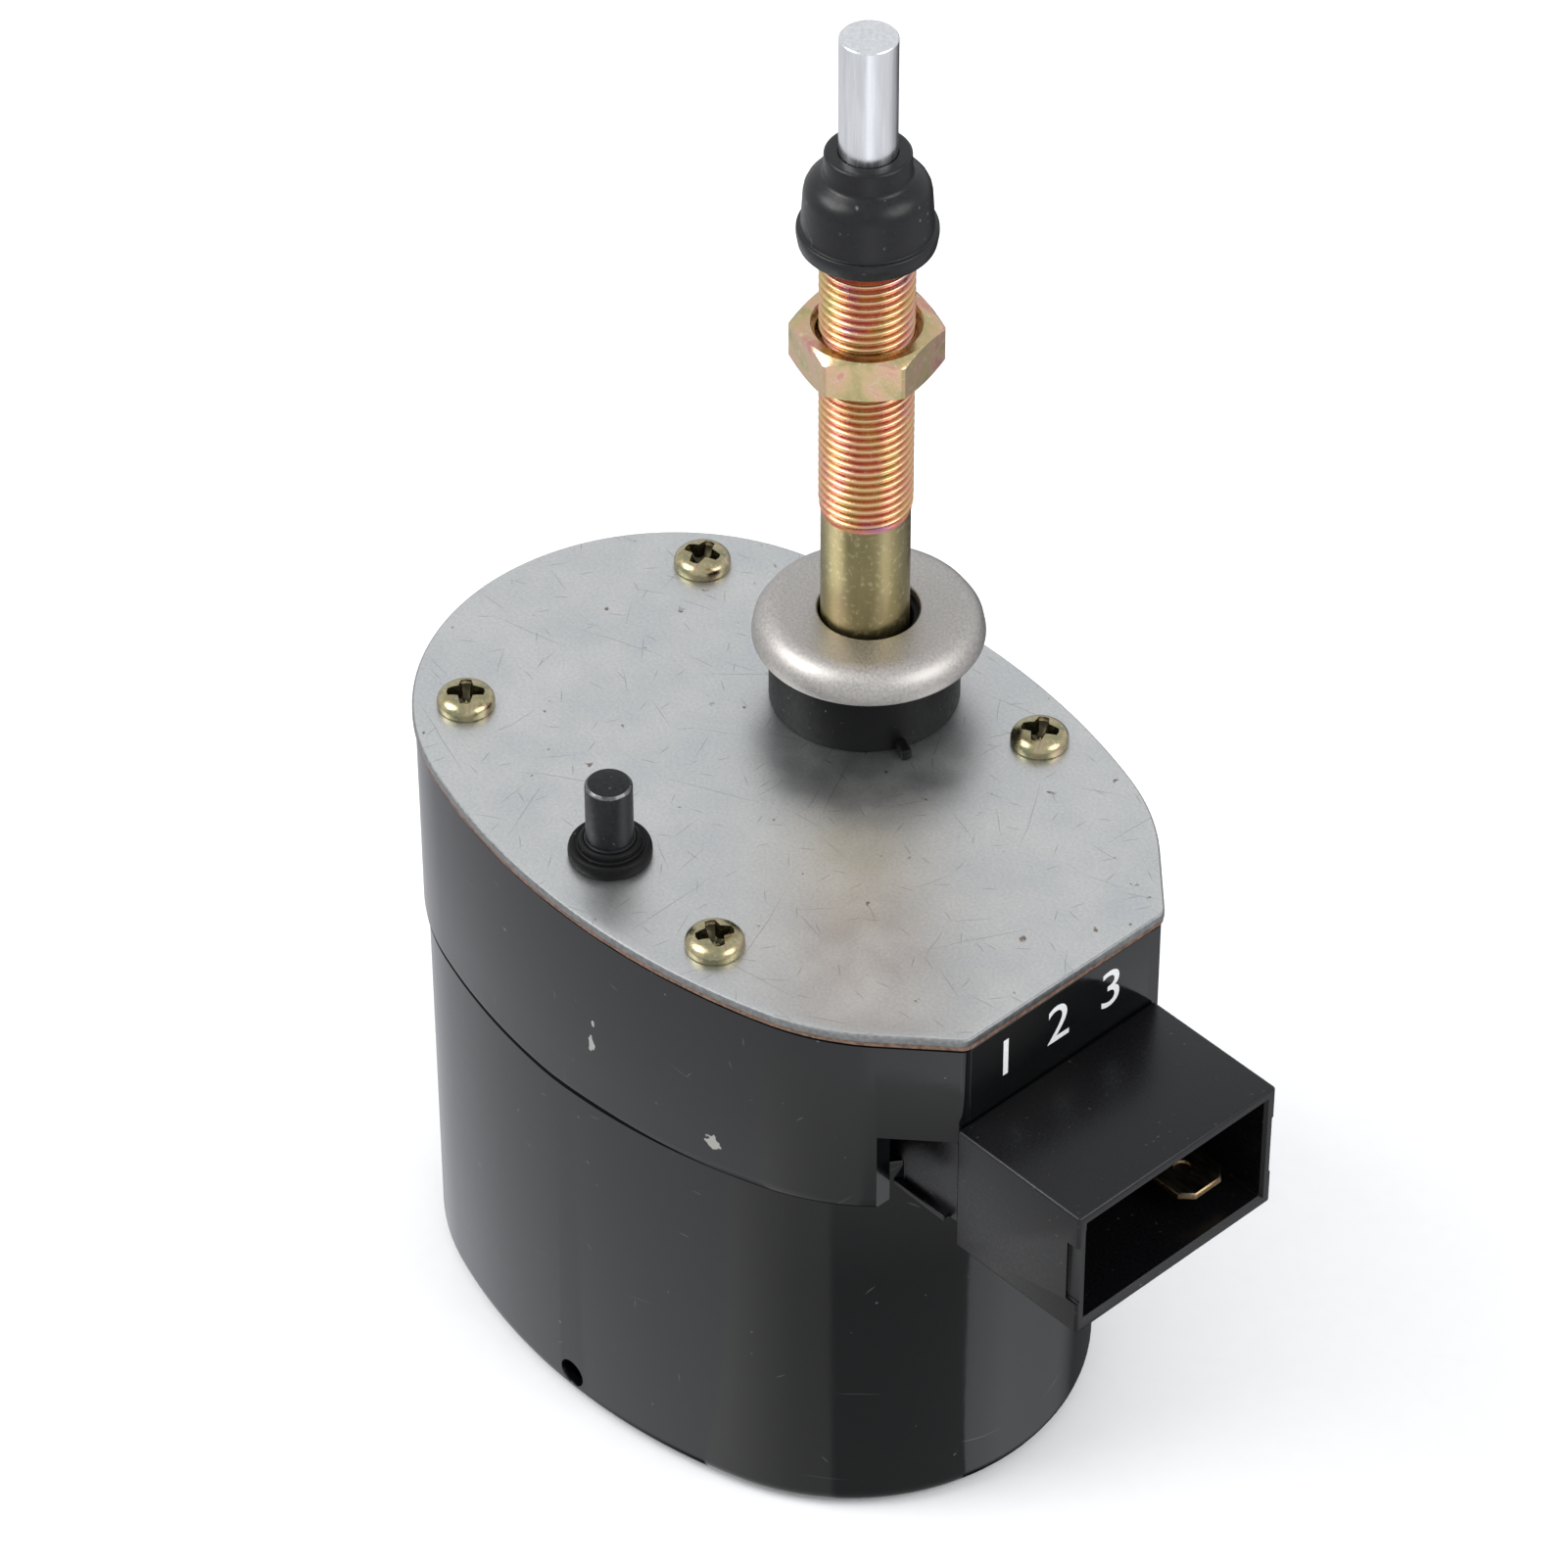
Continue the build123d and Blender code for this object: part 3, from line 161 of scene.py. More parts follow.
def studio_world():
    """A pale tent above the table. Below it, the tones run once round, from -X over -Y and +X back to -X."""
    world = bpy.data.worlds.new("studio_tent")
    bpy.context.scene.world = world
    world.use_nodes = True
    tree = world.node_tree
    tree.nodes.clear()
    aim = add(tree, "ShaderNodeTexCoord").outputs["Generated"]
    around = add(tree, "ShaderNodeTexGradient", {"Vector": aim}, gradient_type="RADIAL")
    table = add(tree, "ShaderNodeValToRGB", {"Fac": around.outputs["Fac"]}, stops=[
        (0.0, 0.88), (0.06, 0.84), (0.20, 0.92), (0.27, 0.88), (0.34, 0.95), (0.38, 1.5), (0.43, 1.2), (0.49, 0.9),
        (0.60, 0.95), (0.67, 0.6), (0.72, 0.4), (0.76, 0.1), (0.85, 0.06), (0.90, 0.6), (1.0, 0.88)])
    cool = add(tree, "ShaderNodeMix", {0: 1.0, 6: table.outputs["Color"], 7: hex_colour("#f8f9ff")},
               data_type="RGBA", blend_type="MULTIPLY")
    height = add(tree, "ShaderNodeSeparateXYZ", {"Vector": aim})
    above = add(tree, "ShaderNodeMapRange", {"Value": height.outputs["Z"], "From Min": -0.3, "From Max": 0.1})
    # Straight down lies the contact shadow, which edges that face the table mirror.
    under = add(tree, "ShaderNodeMapRange", {"Value": height.outputs["Z"], "From Min": -0.92, "From Max": -0.78})
    lower = add(tree, "ShaderNodeMix", {0: under.outputs["Result"], 6: hex_colour("#2a2a2c"), 7: cool.outputs[2]},
                data_type="RGBA")
    light = add(tree, "ShaderNodeMix", {0: above.outputs["Result"], 6: lower.outputs[2], 7: hex_colour("#f3f5f8")},
                data_type="RGBA")
    glow = add(tree, "ShaderNodeBackground", {"Color": light.outputs[2], "Strength": 1.0})
    add(tree, "ShaderNodeOutputWorld", {"Surface": glow.outputs["Background"]})


def shade_card():
    """A glowing card that paints the table's shade into gloss beside the can. Its tones fan out from a point under the
    can.
    """
    mesh = bpy.data.meshes.new("shade_card")
    corners = [(21, -20), (41, -22.4), (130, -2), (128, -60), (100, -108), (60, -142), (12, -142), (19, -45)]
    mesh.from_pydata([(x * MM, y * MM, cad_box[0].z - 0.02 * MM) for x, y in corners], [], [tuple(range(8))])
    card = placed("shade_card", mesh)
    card.visible_camera = card.visible_diffuse = card.visible_shadow = card.visible_transmission = False
    made = bpy.data.materials.new("painted_table_shade_glow")
    made.use_nodes = True
    tree = made.node_tree
    tree.nodes.clear()
    place = add(tree, "ShaderNodeTexCoord").outputs["Object"]
    apex = (21 * MM, -20 * MM, -75 * MM)
    off = add(tree, "ShaderNodeVectorMath", {0: place, 1: apex}, operation="SUBTRACT")
    around = add(tree, "ShaderNodeTexGradient", {"Vector": off.outputs["Vector"]}, gradient_type="RADIAL")
    fan = add(tree, "ShaderNodeValToRGB", {"Fac": around.outputs["Fac"]}, stops=[
        (0.244, 0.9), (0.286, 0.68), (0.314, 0.55), (0.352, 0.5), (0.357, 0.27), (0.6, 0.27)])
    length = add(tree, "ShaderNodeVectorMath", {0: off.outputs["Vector"]}, operation="LENGTH")
    faded = add(tree, "ShaderNodeMapRange", {"Value": length.outputs["Value"], "From Min": 0.055, "From Max": 0.120})
    tone = add(tree, "ShaderNodeMix", {0: faded.outputs["Result"], 6: fan.outputs["Color"],
                                       7: hex_colour("#eeeeee")}, data_type="RGBA")
    # The card glows with these tones: a painted shade, which gloss shows as the table's shadow.
    glow = add(tree, "ShaderNodeEmission", {"Color": tone.outputs[2], "Strength": 1.0})
    add(tree, "ShaderNodeOutputMaterial", {"Surface": glow.outputs["Emission"]})
    mesh.materials.append(made)


def soft_lamp(name, place_mm, size, watts):
    lamp = bpy.data.lights.new(name, "AREA")
    lamp.shape, lamp.size, lamp.energy = "DISK", size, watts
    made = placed(name, lamp)
    made.location = Vector(place_mm) * MM
    made.rotation_mode = "QUATERNION"
    made.rotation_quaternion = (-made.location).to_track_quat("-Z", "Y")


flat_floor()
shade_card()
studio_world()
soft_lamp("key_softbox", (-500, -700, 900), 0.8, 9)
soft_lamp("fill_softbox", (900, 300, 700), 0.8, 5)

# %% [markdown]
# ## Skinning rings of points
# Most pieces here are turned, drawn or moulded to one section. Blender could spin a curve or use a Screw modifier,
# but a list of rings is easier to steer: each row of the section becomes one ring, and neighbouring rings are
# joined with quads. A thread, a hexagon or an oval is then only another kind of ring.

# %% Meshes from rings
def finish_mesh(piece, sharp=32):
    """Smooth shading, except along edges that bend more than sharp degrees."""
    piece.data.shade_smooth()
    piece.data.set_sharp_from_angle(angle=radians(sharp))
    return piece


def mesh_object(name, corners, faces, sharp=32):
    """An object from corners in millimetres."""
    mesh = bpy.data.meshes.new(name)
    mesh.from_pydata([Vector(c) * MM for c in corners], [], faces)
    made = bmesh.new()
    made.from_mesh(mesh)
    bmesh.ops.remove_doubles(made, verts=made.verts, dist=1e-7)
    bmesh.ops.recalc_face_normals(made, faces=made.faces)
    made.to_mesh(mesh)
    made.free()
    return finish_mesh(placed(name, mesh), sharp)


def skin(name, rings, closed=False, sharp=32, thread=(0, 0, 0)):
    """
    Joins rings of equal length. A closed skin meets its first ring again, an open one gets a lid at each end.
    Between its first and last row, a thread's rows climb by some rows in one turn.
    """
    count, (first, last, climb) = len(rings[0]), thread
    corners = [point for ring in rings for point in ring]
    faces = []
    for low in range(len(rings) - (0 if closed else 1)):
        high = (low + 1) % len(rings)
        for i in range(count):
            j = (i + 1) % count
            if j or not first <= low < last:
                faces.append((low * count + i, low * count + j, high * count + j, high * count + i))
            elif low + climb < last:
                faces.append((low * count + i, (low + climb) * count, (high + climb) * count, high * count + i))
            elif low + climb == last:
                faces.append((low * count + i, last * count, high * count + i))
    if not closed:
        faces.append(tuple(range(count))[::-1])
        faces.append(tuple(range((len(rings) - 1) * count, len(rings) * count)))
    return mesh_object(name, corners, faces, sharp)


# %% [markdown]
# ## Soft corners
# No real edge is perfectly sharp. Each corner of a section carries its own softness in millimetres, and is
# replaced with a short curve, so it catches a thin line of light as moulded or tumbled edges do.

# %% Rounded sections, turning and cutting
def soften(section, closed=False, steps=4):
    """Rounds a section's corners. Each point is (across, height, softness in mm)."""
    count, out = len(section), []
    for i, (a, z, soft) in enumerate(section):
        if (not closed and i in (0, count - 1)) or soft == 0:
            out.append((a, z))
            continue
        here, cuts, sides = Vector((a, z)), [], []
        for other in (section[i - 1], section[(i + 1) % count]):
            away = Vector(other[:2]) - here
            cuts.append(here + away * min(soft / away.length, 0.98 * soft / (soft + other[2])))
            sides.append(away.normalized())
        # This weight bends the curve into a true arc.
        pull = sqrt(max(0.0, (1 - sides[0].dot(sides[1])) / 2))
        for k in range(steps + 1):
            t = k / steps
            share = ((1 - t) ** 2, 2 * t * (1 - t) * pull, t ** 2)
            point = (cuts[0] * share[0] + here * share[1] + cuts[1] * share[2]) / sum(share)
            out.append((point.x, point.y))
    return out


def circle(r, z, at=(0, 0), columns=144):
    """One ring of points round an upright axis."""
    return [(at[0] + r * cos(2 * pi * k / columns), at[1] + r * sin(2 * pi * k / columns), z)
            for k in range(columns)]


def turned(name, section, at=(0, 0), closed=False, columns=144):
    """A turned piece about an upright axis, from its section of (radius, height, softness)."""
    return skin(name, [circle(r, z, at, columns) for r, z in soften(section, closed)], closed)


def cut(piece, *tools, how="DIFFERENCE"):
    """Cuts or joins other meshes, applies the result and throws the tools away."""
    for tool in tools:
        step = piece.modifiers.new("cut", "BOOLEAN")
        step.operation, step.solver, step.object = how, "EXACT", tool
        bpy.context.view_layer.update()
        done = bpy.data.meshes.new_from_object(piece.evaluated_get(bpy.context.evaluated_depsgraph_get()))
        piece.modifiers.clear()
        piece.data = done
        bpy.data.objects.remove(tool)
    return finish_mesh(piece)


def brick(name, low, high, soft=0.0):
    """A block between two corners in millimetres, its edges rounded by soft."""
    made = bmesh.new()
    bmesh.ops.create_cube(made, size=1.0)
    for corner in made.verts:
        corner.co = Vector([(a + (b - a) * (c + 0.5)) * MM for a, b, c in zip(low, high, corner.co)])
    if soft:
        bmesh.ops.bevel(made, geom=made.edges[:], offset=soft * MM, segments=3, profile=0.5,
                        affect="EDGES", clamp_overlap=True)
    mesh = bpy.data.meshes.new(name)
    made.to_mesh(mesh)
    made.free()
    return finish_mesh(placed(name, mesh))


def fit(piece, body, slot, finish, *nodes):
    """Gives a piece its finish and its body, and lets it stand for its CAD nodes."""
    piece.data.name = piece.name
    piece.data.materials.clear()
    piece.data.materials.append(finish)
    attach(piece, body)
    if nodes:
        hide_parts(*nodes)
    print(piece.name, len(piece.data.vertices), "corners, rides on", body)
    return piece


def second_finish(mesh, finish, picks):
    """Gives some faces of a fitted piece another finish: those that picks says yes to."""
    mesh.materials.append(finish)
    for face in mesh.polygons:
        face.material_index = int(picks(face))
    print(mesh.name, "has some faces in", finish.name)


# %% [markdown]
# ## Zinc-plated steel sheet
# The cover is punched from sheet and electroplated with bright zinc. The plating leaves a fine frosted grain of
# about 0.3 mm, cloudy drying marks some 9 mm wide, and handling adds dark specks and hair-thin scratches.
# Metallic is 1 with the default IOR; the colour is zinc's cool grey, and the roughness wanders from 0.31 to 0.42.

# %% Scratches
def scratches(tree, place, colour, cell_mm, half_mm, tone, tilt=0.0):
    """One fine scratch per cell, each at its own angle, bent by a little noise. They lie in XY, or XZ if tilted."""
    place = add(tree, "ShaderNodeMapping", {"Vector": place, "Rotation": (tilt, 0.0, 0.0)}).outputs["Vector"]
    bend = add(tree, "ShaderNodeTexNoise", {"Vector": place, "Scale": per_metre(11)})
    shift = add(tree, "ShaderNodeVectorMath", {0: bend.outputs["Color"], 1: (0.0015, 0.0015, 0.0)},
                operation="MULTIPLY")
    bent = add(tree, "ShaderNodeVectorMath", {0: place, 1: shift.outputs["Vector"]}, operation="ADD")
    cells = add(tree, "ShaderNodeTexVoronoi", {"Vector": bent.outputs["Vector"], "Scale": per_metre(cell_mm)},
                voronoi_dimensions="2D")
    off = add(tree, "ShaderNodeVectorMath", {0: bent.outputs["Vector"], 1: cells.outputs["Position"]},
              operation="SUBTRACT")
    spin = add(tree, "ShaderNodeMath", {0: cells.outputs["Color"], 1: 40.0}, operation="MULTIPLY")
    turned_off = add(tree, "ShaderNodeVectorRotate", {"Vector": off.outputs["Vector"], "Angle": spin.outputs["Value"]},
                     rotation_type="Z_AXIS")
    # An ellipse some millimetres long and 0.07 mm to either side.
    squashed = add(tree, "ShaderNodeVectorMath", {0: turned_off.outputs["Vector"],
                                                  1: (1000 / half_mm, 1000 / 0.07, 0.0)}, operation="MULTIPLY")
    far = add(tree, "ShaderNodeVectorMath", {0: squashed.outputs["Vector"]}, operation="LENGTH")
    line = add(tree, "ShaderNodeValToRGB", {"Fac": far.outputs["Value"]}, stops=[(0.4, 0.55), (1.0, 0.0)])
    marked = add(tree, "ShaderNodeMix", {0: line.outputs["Color"], 6: colour, 7: hex_colour(tone)},
                 data_type="RGBA")
    return marked.outputs[2]


# %% Zinc sheet
def zinc_sheet():
    made, tree, shader, place = material("zinc_plated_steel_sheet", Metallic=1.0)
    grain = add(tree, "ShaderNodeTexNoise", {"Vector": place, "Scale": per_metre(0.35), "Detail": 3.0})
    clouds = add(tree, "ShaderNodeTexNoise", {"Vector": place, "Scale": per_metre(9), "Detail": 5.0,
                                              "Roughness": 0.62})
    tint = add(tree, "ShaderNodeValToRGB", {"Fac": clouds.outputs["Fac"]},
               stops=[(0.30, "#c3c5c6"), (0.50, "#cacbca"), (0.70, "#d1d1cf")])
    frost = add(tree, "ShaderNodeValToRGB", {"Fac": grain.outputs["Fac"]}, stops=[(0.3, 0.86), (0.7, 1.0)])
    frosted = add(tree, "ShaderNodeMix", {0: 1.0, 6: tint.outputs["Color"], 7: frost.outputs["Color"]},
                  data_type="RGBA", blend_type="MULTIPLY")
    # Specks are the rare peaks of a 2 mm noise, so they come out about 0.5 mm wide, ragged and far apart.
    peaks = add(tree, "ShaderNodeTexNoise", {"Vector": place, "Scale": per_metre(2), "Detail": 3.0})
    specks = add(tree, "ShaderNodeValToRGB", {"Fac": peaks.outputs["Fac"]}, stops=[(0.70, 0.0), (0.74, 0.85)])
    dotted = add(tree, "ShaderNodeMix", {0: specks.outputs["Color"], 6: frosted.outputs[2],
                                         7: hex_colour("#6a5a49")}, data_type="RGBA")
    colour = dotted.outputs[2]
    for cell_mm, half_mm, tone in ((17, 7.0, "#85888a"), (8, 2.6, "#8a8c8c"), (4.5, 1.1, "#7c7b77")):
        colour = scratches(tree, place, colour, cell_mm, half_mm, tone)
    tree.links.new(colour, shader.inputs["Base Color"])
    rough = add(tree, "ShaderNodeMapRange", {"Value": clouds.outputs["Fac"], "From Min": 0.3, "From Max": 0.7,
                                             "To Min": 0.31, "To Max": 0.42})
    tree.links.new(rough.outputs["Result"], shader.inputs["Roughness"])
    bump = add(tree, "ShaderNodeBump", {"Height": grain.outputs["Fac"], "Strength": 0.25, "Distance": 0.03 * MM})
    tree.links.new(bump.outputs["Normal"], shader.inputs["Normal"])
    return made


zinc = zinc_sheet()

# %% [markdown]
# ## Yellow chromate over zinc
# The screws, the nut and the sleeve are dipped in yellow chromate after zinc plating. The film is only a few tenths
# of a micron thick, so it shows gold where it is thin and drifts to pink and green where it is thicker. A cloud of
# noise picks the colour, a few millimetres across. It stays a metal with the default IOR.

# %% Yellow chromate
def chromate(name, stops, cloud_mm, roughness, worn="#d9cfae", stretch=(1.0, 1.0, 1.0), crest=None):
    made, tree, shader, place = material(name, Metallic=1.0)
    pulled = add(tree, "ShaderNodeMapping", {"Vector": place, "Scale": stretch})
    cloud = add(tree, "ShaderNodeTexNoise", {"Vector": pulled.outputs["Vector"], "Scale": per_metre(cloud_mm),
                                             "Detail": 3.0, "Distortion": 0.6})
    film = add(tree, "ShaderNodeValToRGB", {"Fac": cloud.outputs["Fac"]}, stops=stops)
    scuffs = add(tree, "ShaderNodeTexNoise", {"Vector": place, "Scale": per_metre(0.6), "Detail": 4.0})
    bare = add(tree, "ShaderNodeValToRGB", {"Fac": scuffs.outputs["Fac"]}, stops=[(0.55, 0.0), (0.75, 0.55)])
    colour = add(tree, "ShaderNodeMix", {0: bare.outputs["Color"], 6: film.outputs["Color"], 7: hex_colour(worn)},
                 data_type="RGBA")
    tone = colour.outputs[2]
    if crest:
        # The thread's crests carry a paler film than its flanks, so the colour also follows the radius.
        flat = add(tree, "ShaderNodeVectorMath", {0: place, 1: (1.0, 1.0, 0.0)}, operation="MULTIPLY")
        reach = add(tree, "ShaderNodeVectorMath", {0: flat.outputs["Vector"]}, operation="LENGTH")
        high = add(tree, "ShaderNodeMapRange", {"Value": reach.outputs["Value"], "From Min": crest[0] * MM,
                                                "From Max": crest[1] * MM, "To Max": 0.7})
        topped = add(tree, "ShaderNodeMix", {0: high.outputs["Result"], 6: tone, 7: hex_colour(crest[2])},
                     data_type="RGBA")
        tone = topped.outputs[2]
    tree.links.new(tone, shader.inputs["Base Color"])
    rough = add(tree, "ShaderNodeMapRange", {"Value": scuffs.outputs["Fac"], "From Min": 0.3, "From Max": 0.7,
                                             "To Min": roughness - 0.05, "To Max": roughness + 0.08})
    tree.links.new(rough.outputs["Result"], shader.inputs["Roughness"])
    fine = add(tree, "ShaderNodeTexNoise", {"Vector": pulled.outputs["Vector"], "Scale": per_metre(0.2),
                                            "Detail": 2.0})
    bump = add(tree, "ShaderNodeBump", {"Height": fine.outputs["Fac"], "Strength": 0.2, "Distance": 0.03 * MM})
    tree.links.new(bump.outputs["Normal"], shader.inputs["Normal"])
    return made


screw_gold = chromate("yellow_chromate_screw_steel", [(0.30, "#85866c"), (0.46, "#9b9271"), (0.60, "#aa9f7e"),
                                                      (0.74, "#9f837a")], 1.6, 0.22)
# Painted shade: the recess walls get this darker chromate, so the cross reads dark.
recess_shade_gold = chromate("yellow_chromate_painted_recess_shade", [(0.30, "#2e2c22"), (0.70, "#4a4434")], 0.8, 0.4,
                       worn="#5a5442")
nut_gold = chromate("yellow_chromate_nut_steel", [(0.30, "#a8a072"), (0.46, "#c4ad82"), (0.60, "#cfab90"),
                                                  (0.74, "#c58d80")], 3.2, 0.2)
tube_gold = chromate("yellow_chromate_tube_steel", [(0.28, "#7f7a55"), (0.46, "#978c64"), (0.62, "#a89b74"),
                                                    (0.76, "#a98a78")], 5.0, 0.34, stretch=(1.0, 1.0, 0.3))
thread_gold = chromate("yellow_chromate_thread", [(0.30, "#a8965a"), (0.44, "#bb8456"), (0.56, "#bd6f60"),
                                                  (0.72, "#a8708a")], 4.5, 0.26, worn="#d0b090",
                       crest=(4.62, 4.92, "#e0c296"))

# %% [markdown]
# ## Black enamel
# The case and the can are stoved in gloss black enamel. It dries with a faint orange peel about 1.5 mm across, dust
# settles in it as pale specks, handling leaves scratches 1 to 4 mm long, and knocks chip it down to the pale primer.
# Enamel is no metal: IOR 1.5, and a low roughness round 0.1.

# %% Enamel
def enamel(name, chips=()):
    made, tree, shader, place = material(name, IOR=1.5)
    peel = add(tree, "ShaderNodeTexNoise", {"Vector": place, "Scale": per_metre(1.5), "Detail": 2.0})
    dust = add(tree, "ShaderNodeTexNoise", {"Vector": place, "Scale": per_metre(0.9), "Detail": 1.0})
    specks = add(tree, "ShaderNodeValToRGB", {"Fac": dust.outputs["Fac"]}, stops=[(0.79, 0.0), (0.83, 0.4)])
    tone = add(tree, "ShaderNodeMix", {0: specks.outputs["Color"], 6: hex_colour("#08090b"),
                                       7: hex_colour("#6d6f72")}, data_type="RGBA")
    colour = tone.outputs[2]
    # Each chip is a stretched spot about one of the knocks, with an edge made ragged by the dust noise.
    for knock, size in chips:
        off = add(tree, "ShaderNodeVectorMath", {0: place, 1: tuple(v * MM for v in knock)}, operation="SUBTRACT")
        flat = add(tree, "ShaderNodeVectorMath", {0: off.outputs["Vector"], 1: tuple(1000 / s for s in size)},
                   operation="MULTIPLY")
        far = add(tree, "ShaderNodeVectorMath", {0: flat.outputs["Vector"]}, operation="LENGTH")
        ragged = add(tree, "ShaderNodeMath", {0: far.outputs["Value"], 1: dust.outputs["Fac"]}, operation="ADD")
        spot = add(tree, "ShaderNodeValToRGB", {"Fac": ragged.outputs["Value"]}, stops=[(0.93, 1.0), (1.0, 0.0)])
        chipped = add(tree, "ShaderNodeMix", {0: spot.outputs["Color"], 6: colour, 7: hex_colour("#8f8d88")},
                      data_type="RGBA")
        colour = chipped.outputs[2]
    colour = scratches(tree, place, colour, 23, 2.2, "#3d3e42", pi / 2)
    colour = scratches(tree, place, colour, 13, 0.7, "#55565a", pi / 2)
    tree.links.new(colour, shader.inputs["Base Color"])
    film = add(tree, "ShaderNodeTexNoise", {"Vector": place, "Scale": per_metre(14), "Detail": 3.0})
    rough = add(tree, "ShaderNodeMapRange", {"Value": film.outputs["Fac"], "From Min": 0.3, "From Max": 0.7,
                                             "To Min": 0.08, "To Max": 0.15})
    tree.links.new(rough.outputs["Result"], shader.inputs["Roughness"])
    bump = add(tree, "ShaderNodeBump", {"Height": peel.outputs["Fac"], "Strength": 0.12, "Distance": 0.08 * MM})
    tree.links.new(bump.outputs["Normal"], shader.inputs["Normal"])
    return made


case_enamel = enamel("gloss_black_enamel_case", [((6.9, -45.4, -17.6), (0.9, 1.5, 2.2)),
                                                 ((7.2, -45.4, -14.4), (0.5, 1.5, 1.1)),
                                                 ((23.1, -43.1, -21.6), (1.7, 2.0, 1.8))])
can_enamel = enamel("gloss_black_enamel_can")

# %% [markdown]
# ## Rubber, plastic and the smaller finishes
# Rubber and moulded nylon are both near-black and differ in their surface: rubber is softer and holds dust, nylon has
# a fine spark-eroded grain. One function draws a plain worked surface from two tones, a grain size and a gloss, and
# each finish below gets its own figures.

# %% Plain worked surfaces
def worked(name, dark, light, grain_mm, roughness, metallic=0.0, strength=0.3, dust=0.0, ior=1.5,
           stretch=(1.0, 1.0, 1.0), sheen=0.5):
    made, tree, shader, place = material(name, Metallic=metallic, IOR=ior, Specular_IOR_Level=sheen)
    pulled = add(tree, "ShaderNodeMapping", {"Vector": place, "Scale": stretch})
    grain = add(tree, "ShaderNodeTexNoise", {"Vector": pulled.outputs["Vector"], "Scale": per_metre(grain_mm),
                                             "Detail": 4.0})
    tone = add(tree, "ShaderNodeValToRGB", {"Fac": grain.outputs["Fac"]}, stops=[(0.32, dark), (0.68, light)])
    colour = tone.outputs["Color"]
    if dust:
        fluff = add(tree, "ShaderNodeTexNoise", {"Vector": place, "Scale": per_metre(0.7), "Detail": 2.0})
        specks = add(tree, "ShaderNodeValToRGB", {"Fac": fluff.outputs["Fac"]}, stops=[(0.70, 0.0), (0.80, dust)])
        dusty = add(tree, "ShaderNodeMix", {0: specks.outputs["Color"], 6: colour, 7: hex_colour("#9a9894")},
                    data_type="RGBA")
        colour = dusty.outputs[2]
    tree.links.new(colour, shader.inputs["Base Color"])
    rough = add(tree, "ShaderNodeMapRange", {"Value": grain.outputs["Fac"], "From Min": 0.3, "From Max": 0.7,
                                             "To Min": roughness - 0.06, "To Max": roughness + 0.06})
    tree.links.new(rough.outputs["Result"], shader.inputs["Roughness"])
    bump = add(tree, "ShaderNodeBump", {"Height": grain.outputs["Fac"], "Strength": strength, "Distance": 0.03 * MM})
    tree.links.new(bump.outputs["Normal"], shader.inputs["Normal"])
    return made


rubber = worked("moulded_nitrile_rubber", "#060608", "#0e0e10", 0.5, 0.34, dust=0.35, ior=1.52, sheen=0.35)
ring_rubber = worked("dull_nitrile_rubber", "#060607", "#0c0c0d", 0.5, 0.5, dust=0.35, ior=1.52, sheen=0.15)
# Painted shadow: a flat black for the thin dark lines under the skirt's edge and under the gasket.
seam_shadow = worked("painted_seam_shadow", "#030303", "#070707", 0.5, 0.8, sheen=0.05)
nylon = worked("moulded_black_nylon", "#050507", "#0c0c0e", 0.25, 0.32, dust=0.15, ior=1.53, sheen=0.33)
blasted = worked("blasted_zinc_washer_steel", "#a39f9b", "#bab6b2", 0.28, 0.46, metallic=1.0, strength=0.5)
ground = worked("ground_bright_steel", "#d3d5d6", "#e4e5e6", 0.4, 0.26, metallic=1.0, stretch=(1.0, 1.0, 0.06))
rubbed = worked("rubbed_oxide_edge", "#4a4b4d", "#77787a", 0.4, 0.3, metallic=1.0)
sheared = worked("sheared_zinc_edge", "#7d7e7e", "#979998", 0.5, 0.48, metallic=1.0)
oxide = worked("black_oxide_steel", "#101114", "#1c1e21", 0.6, 0.34, metallic=0.5, dust=0.3)
dull_brass = worked("oxidised_brass_blade", "#4d483f", "#6f6858", 0.5, 0.34, metallic=1.0, stretch=(0.2, 1.0, 1.0))
cut_brass = worked("sheared_brass_edge", "#8c7555", "#a68e6c", 0.3, 0.34, metallic=1.0)
film = worked("gloss_black_label_film", "#060708", "#0a0b0c", 3.0, 0.12)
print_white = worked("screen_print_white", "#dedfdf", "#efefef", 0.3, 0.5)
fibre = worked("vulcanised_fibre", "#503a2e", "#80624f", 0.5, 0.7, strength=0.6, dust=0.6)

# %% [markdown]
# ## The oval cover and what lies under it
# The cover's outline is two round ends of the same size joined by long sides that bulge a little, with a flat where
# the connector comes out. One function gives that outline moved in by any amount, with the same number of points
# each time, so rings can be skinned.
# The flat's corners are slightly rounded, and the punch has rolled the plate's upper edge over.

# %% The oval outline
MID_X, MID_Y, END_R, HALF_W, END_OUT, FLAT_X, CORNER_OUT = 3.85, -15.6, 27.4, 30.1, 17.1, 46.3, 1.56
CAN_MID_X, CAN_END_R, CAN_HALF_W, CAN_END_OUT = 0.8, 26.8, 29.1, 13.75
PIN = (0.9, -36.9)
SCREWS = ((-27.05, 1.5), (-27.05, -32.3), (18.6, -38.5), (18.6, 7.7))


def bulge(end_r, half_w, end_out):
    """The long sides' radius, and the angle at which they meet the round ends."""
    side_r = (end_out ** 2 / (half_w - end_r) + end_r + half_w) / 2
    return side_r, acos(end_out / (side_r - end_r))


def along(arcs, z):
    """Points along arcs of (x, y, radius, from, to, steps), at a height or at a height worked out from x."""
    points = [(x + r * cos(a + (b - a) * k / n), y + r * sin(a + (b - a) * k / n))
              for x, y, r, a, b, n in arcs for k in range(n + 1)]
    return [(x, y, z(x) if callable(z) else z) for x, y in points]


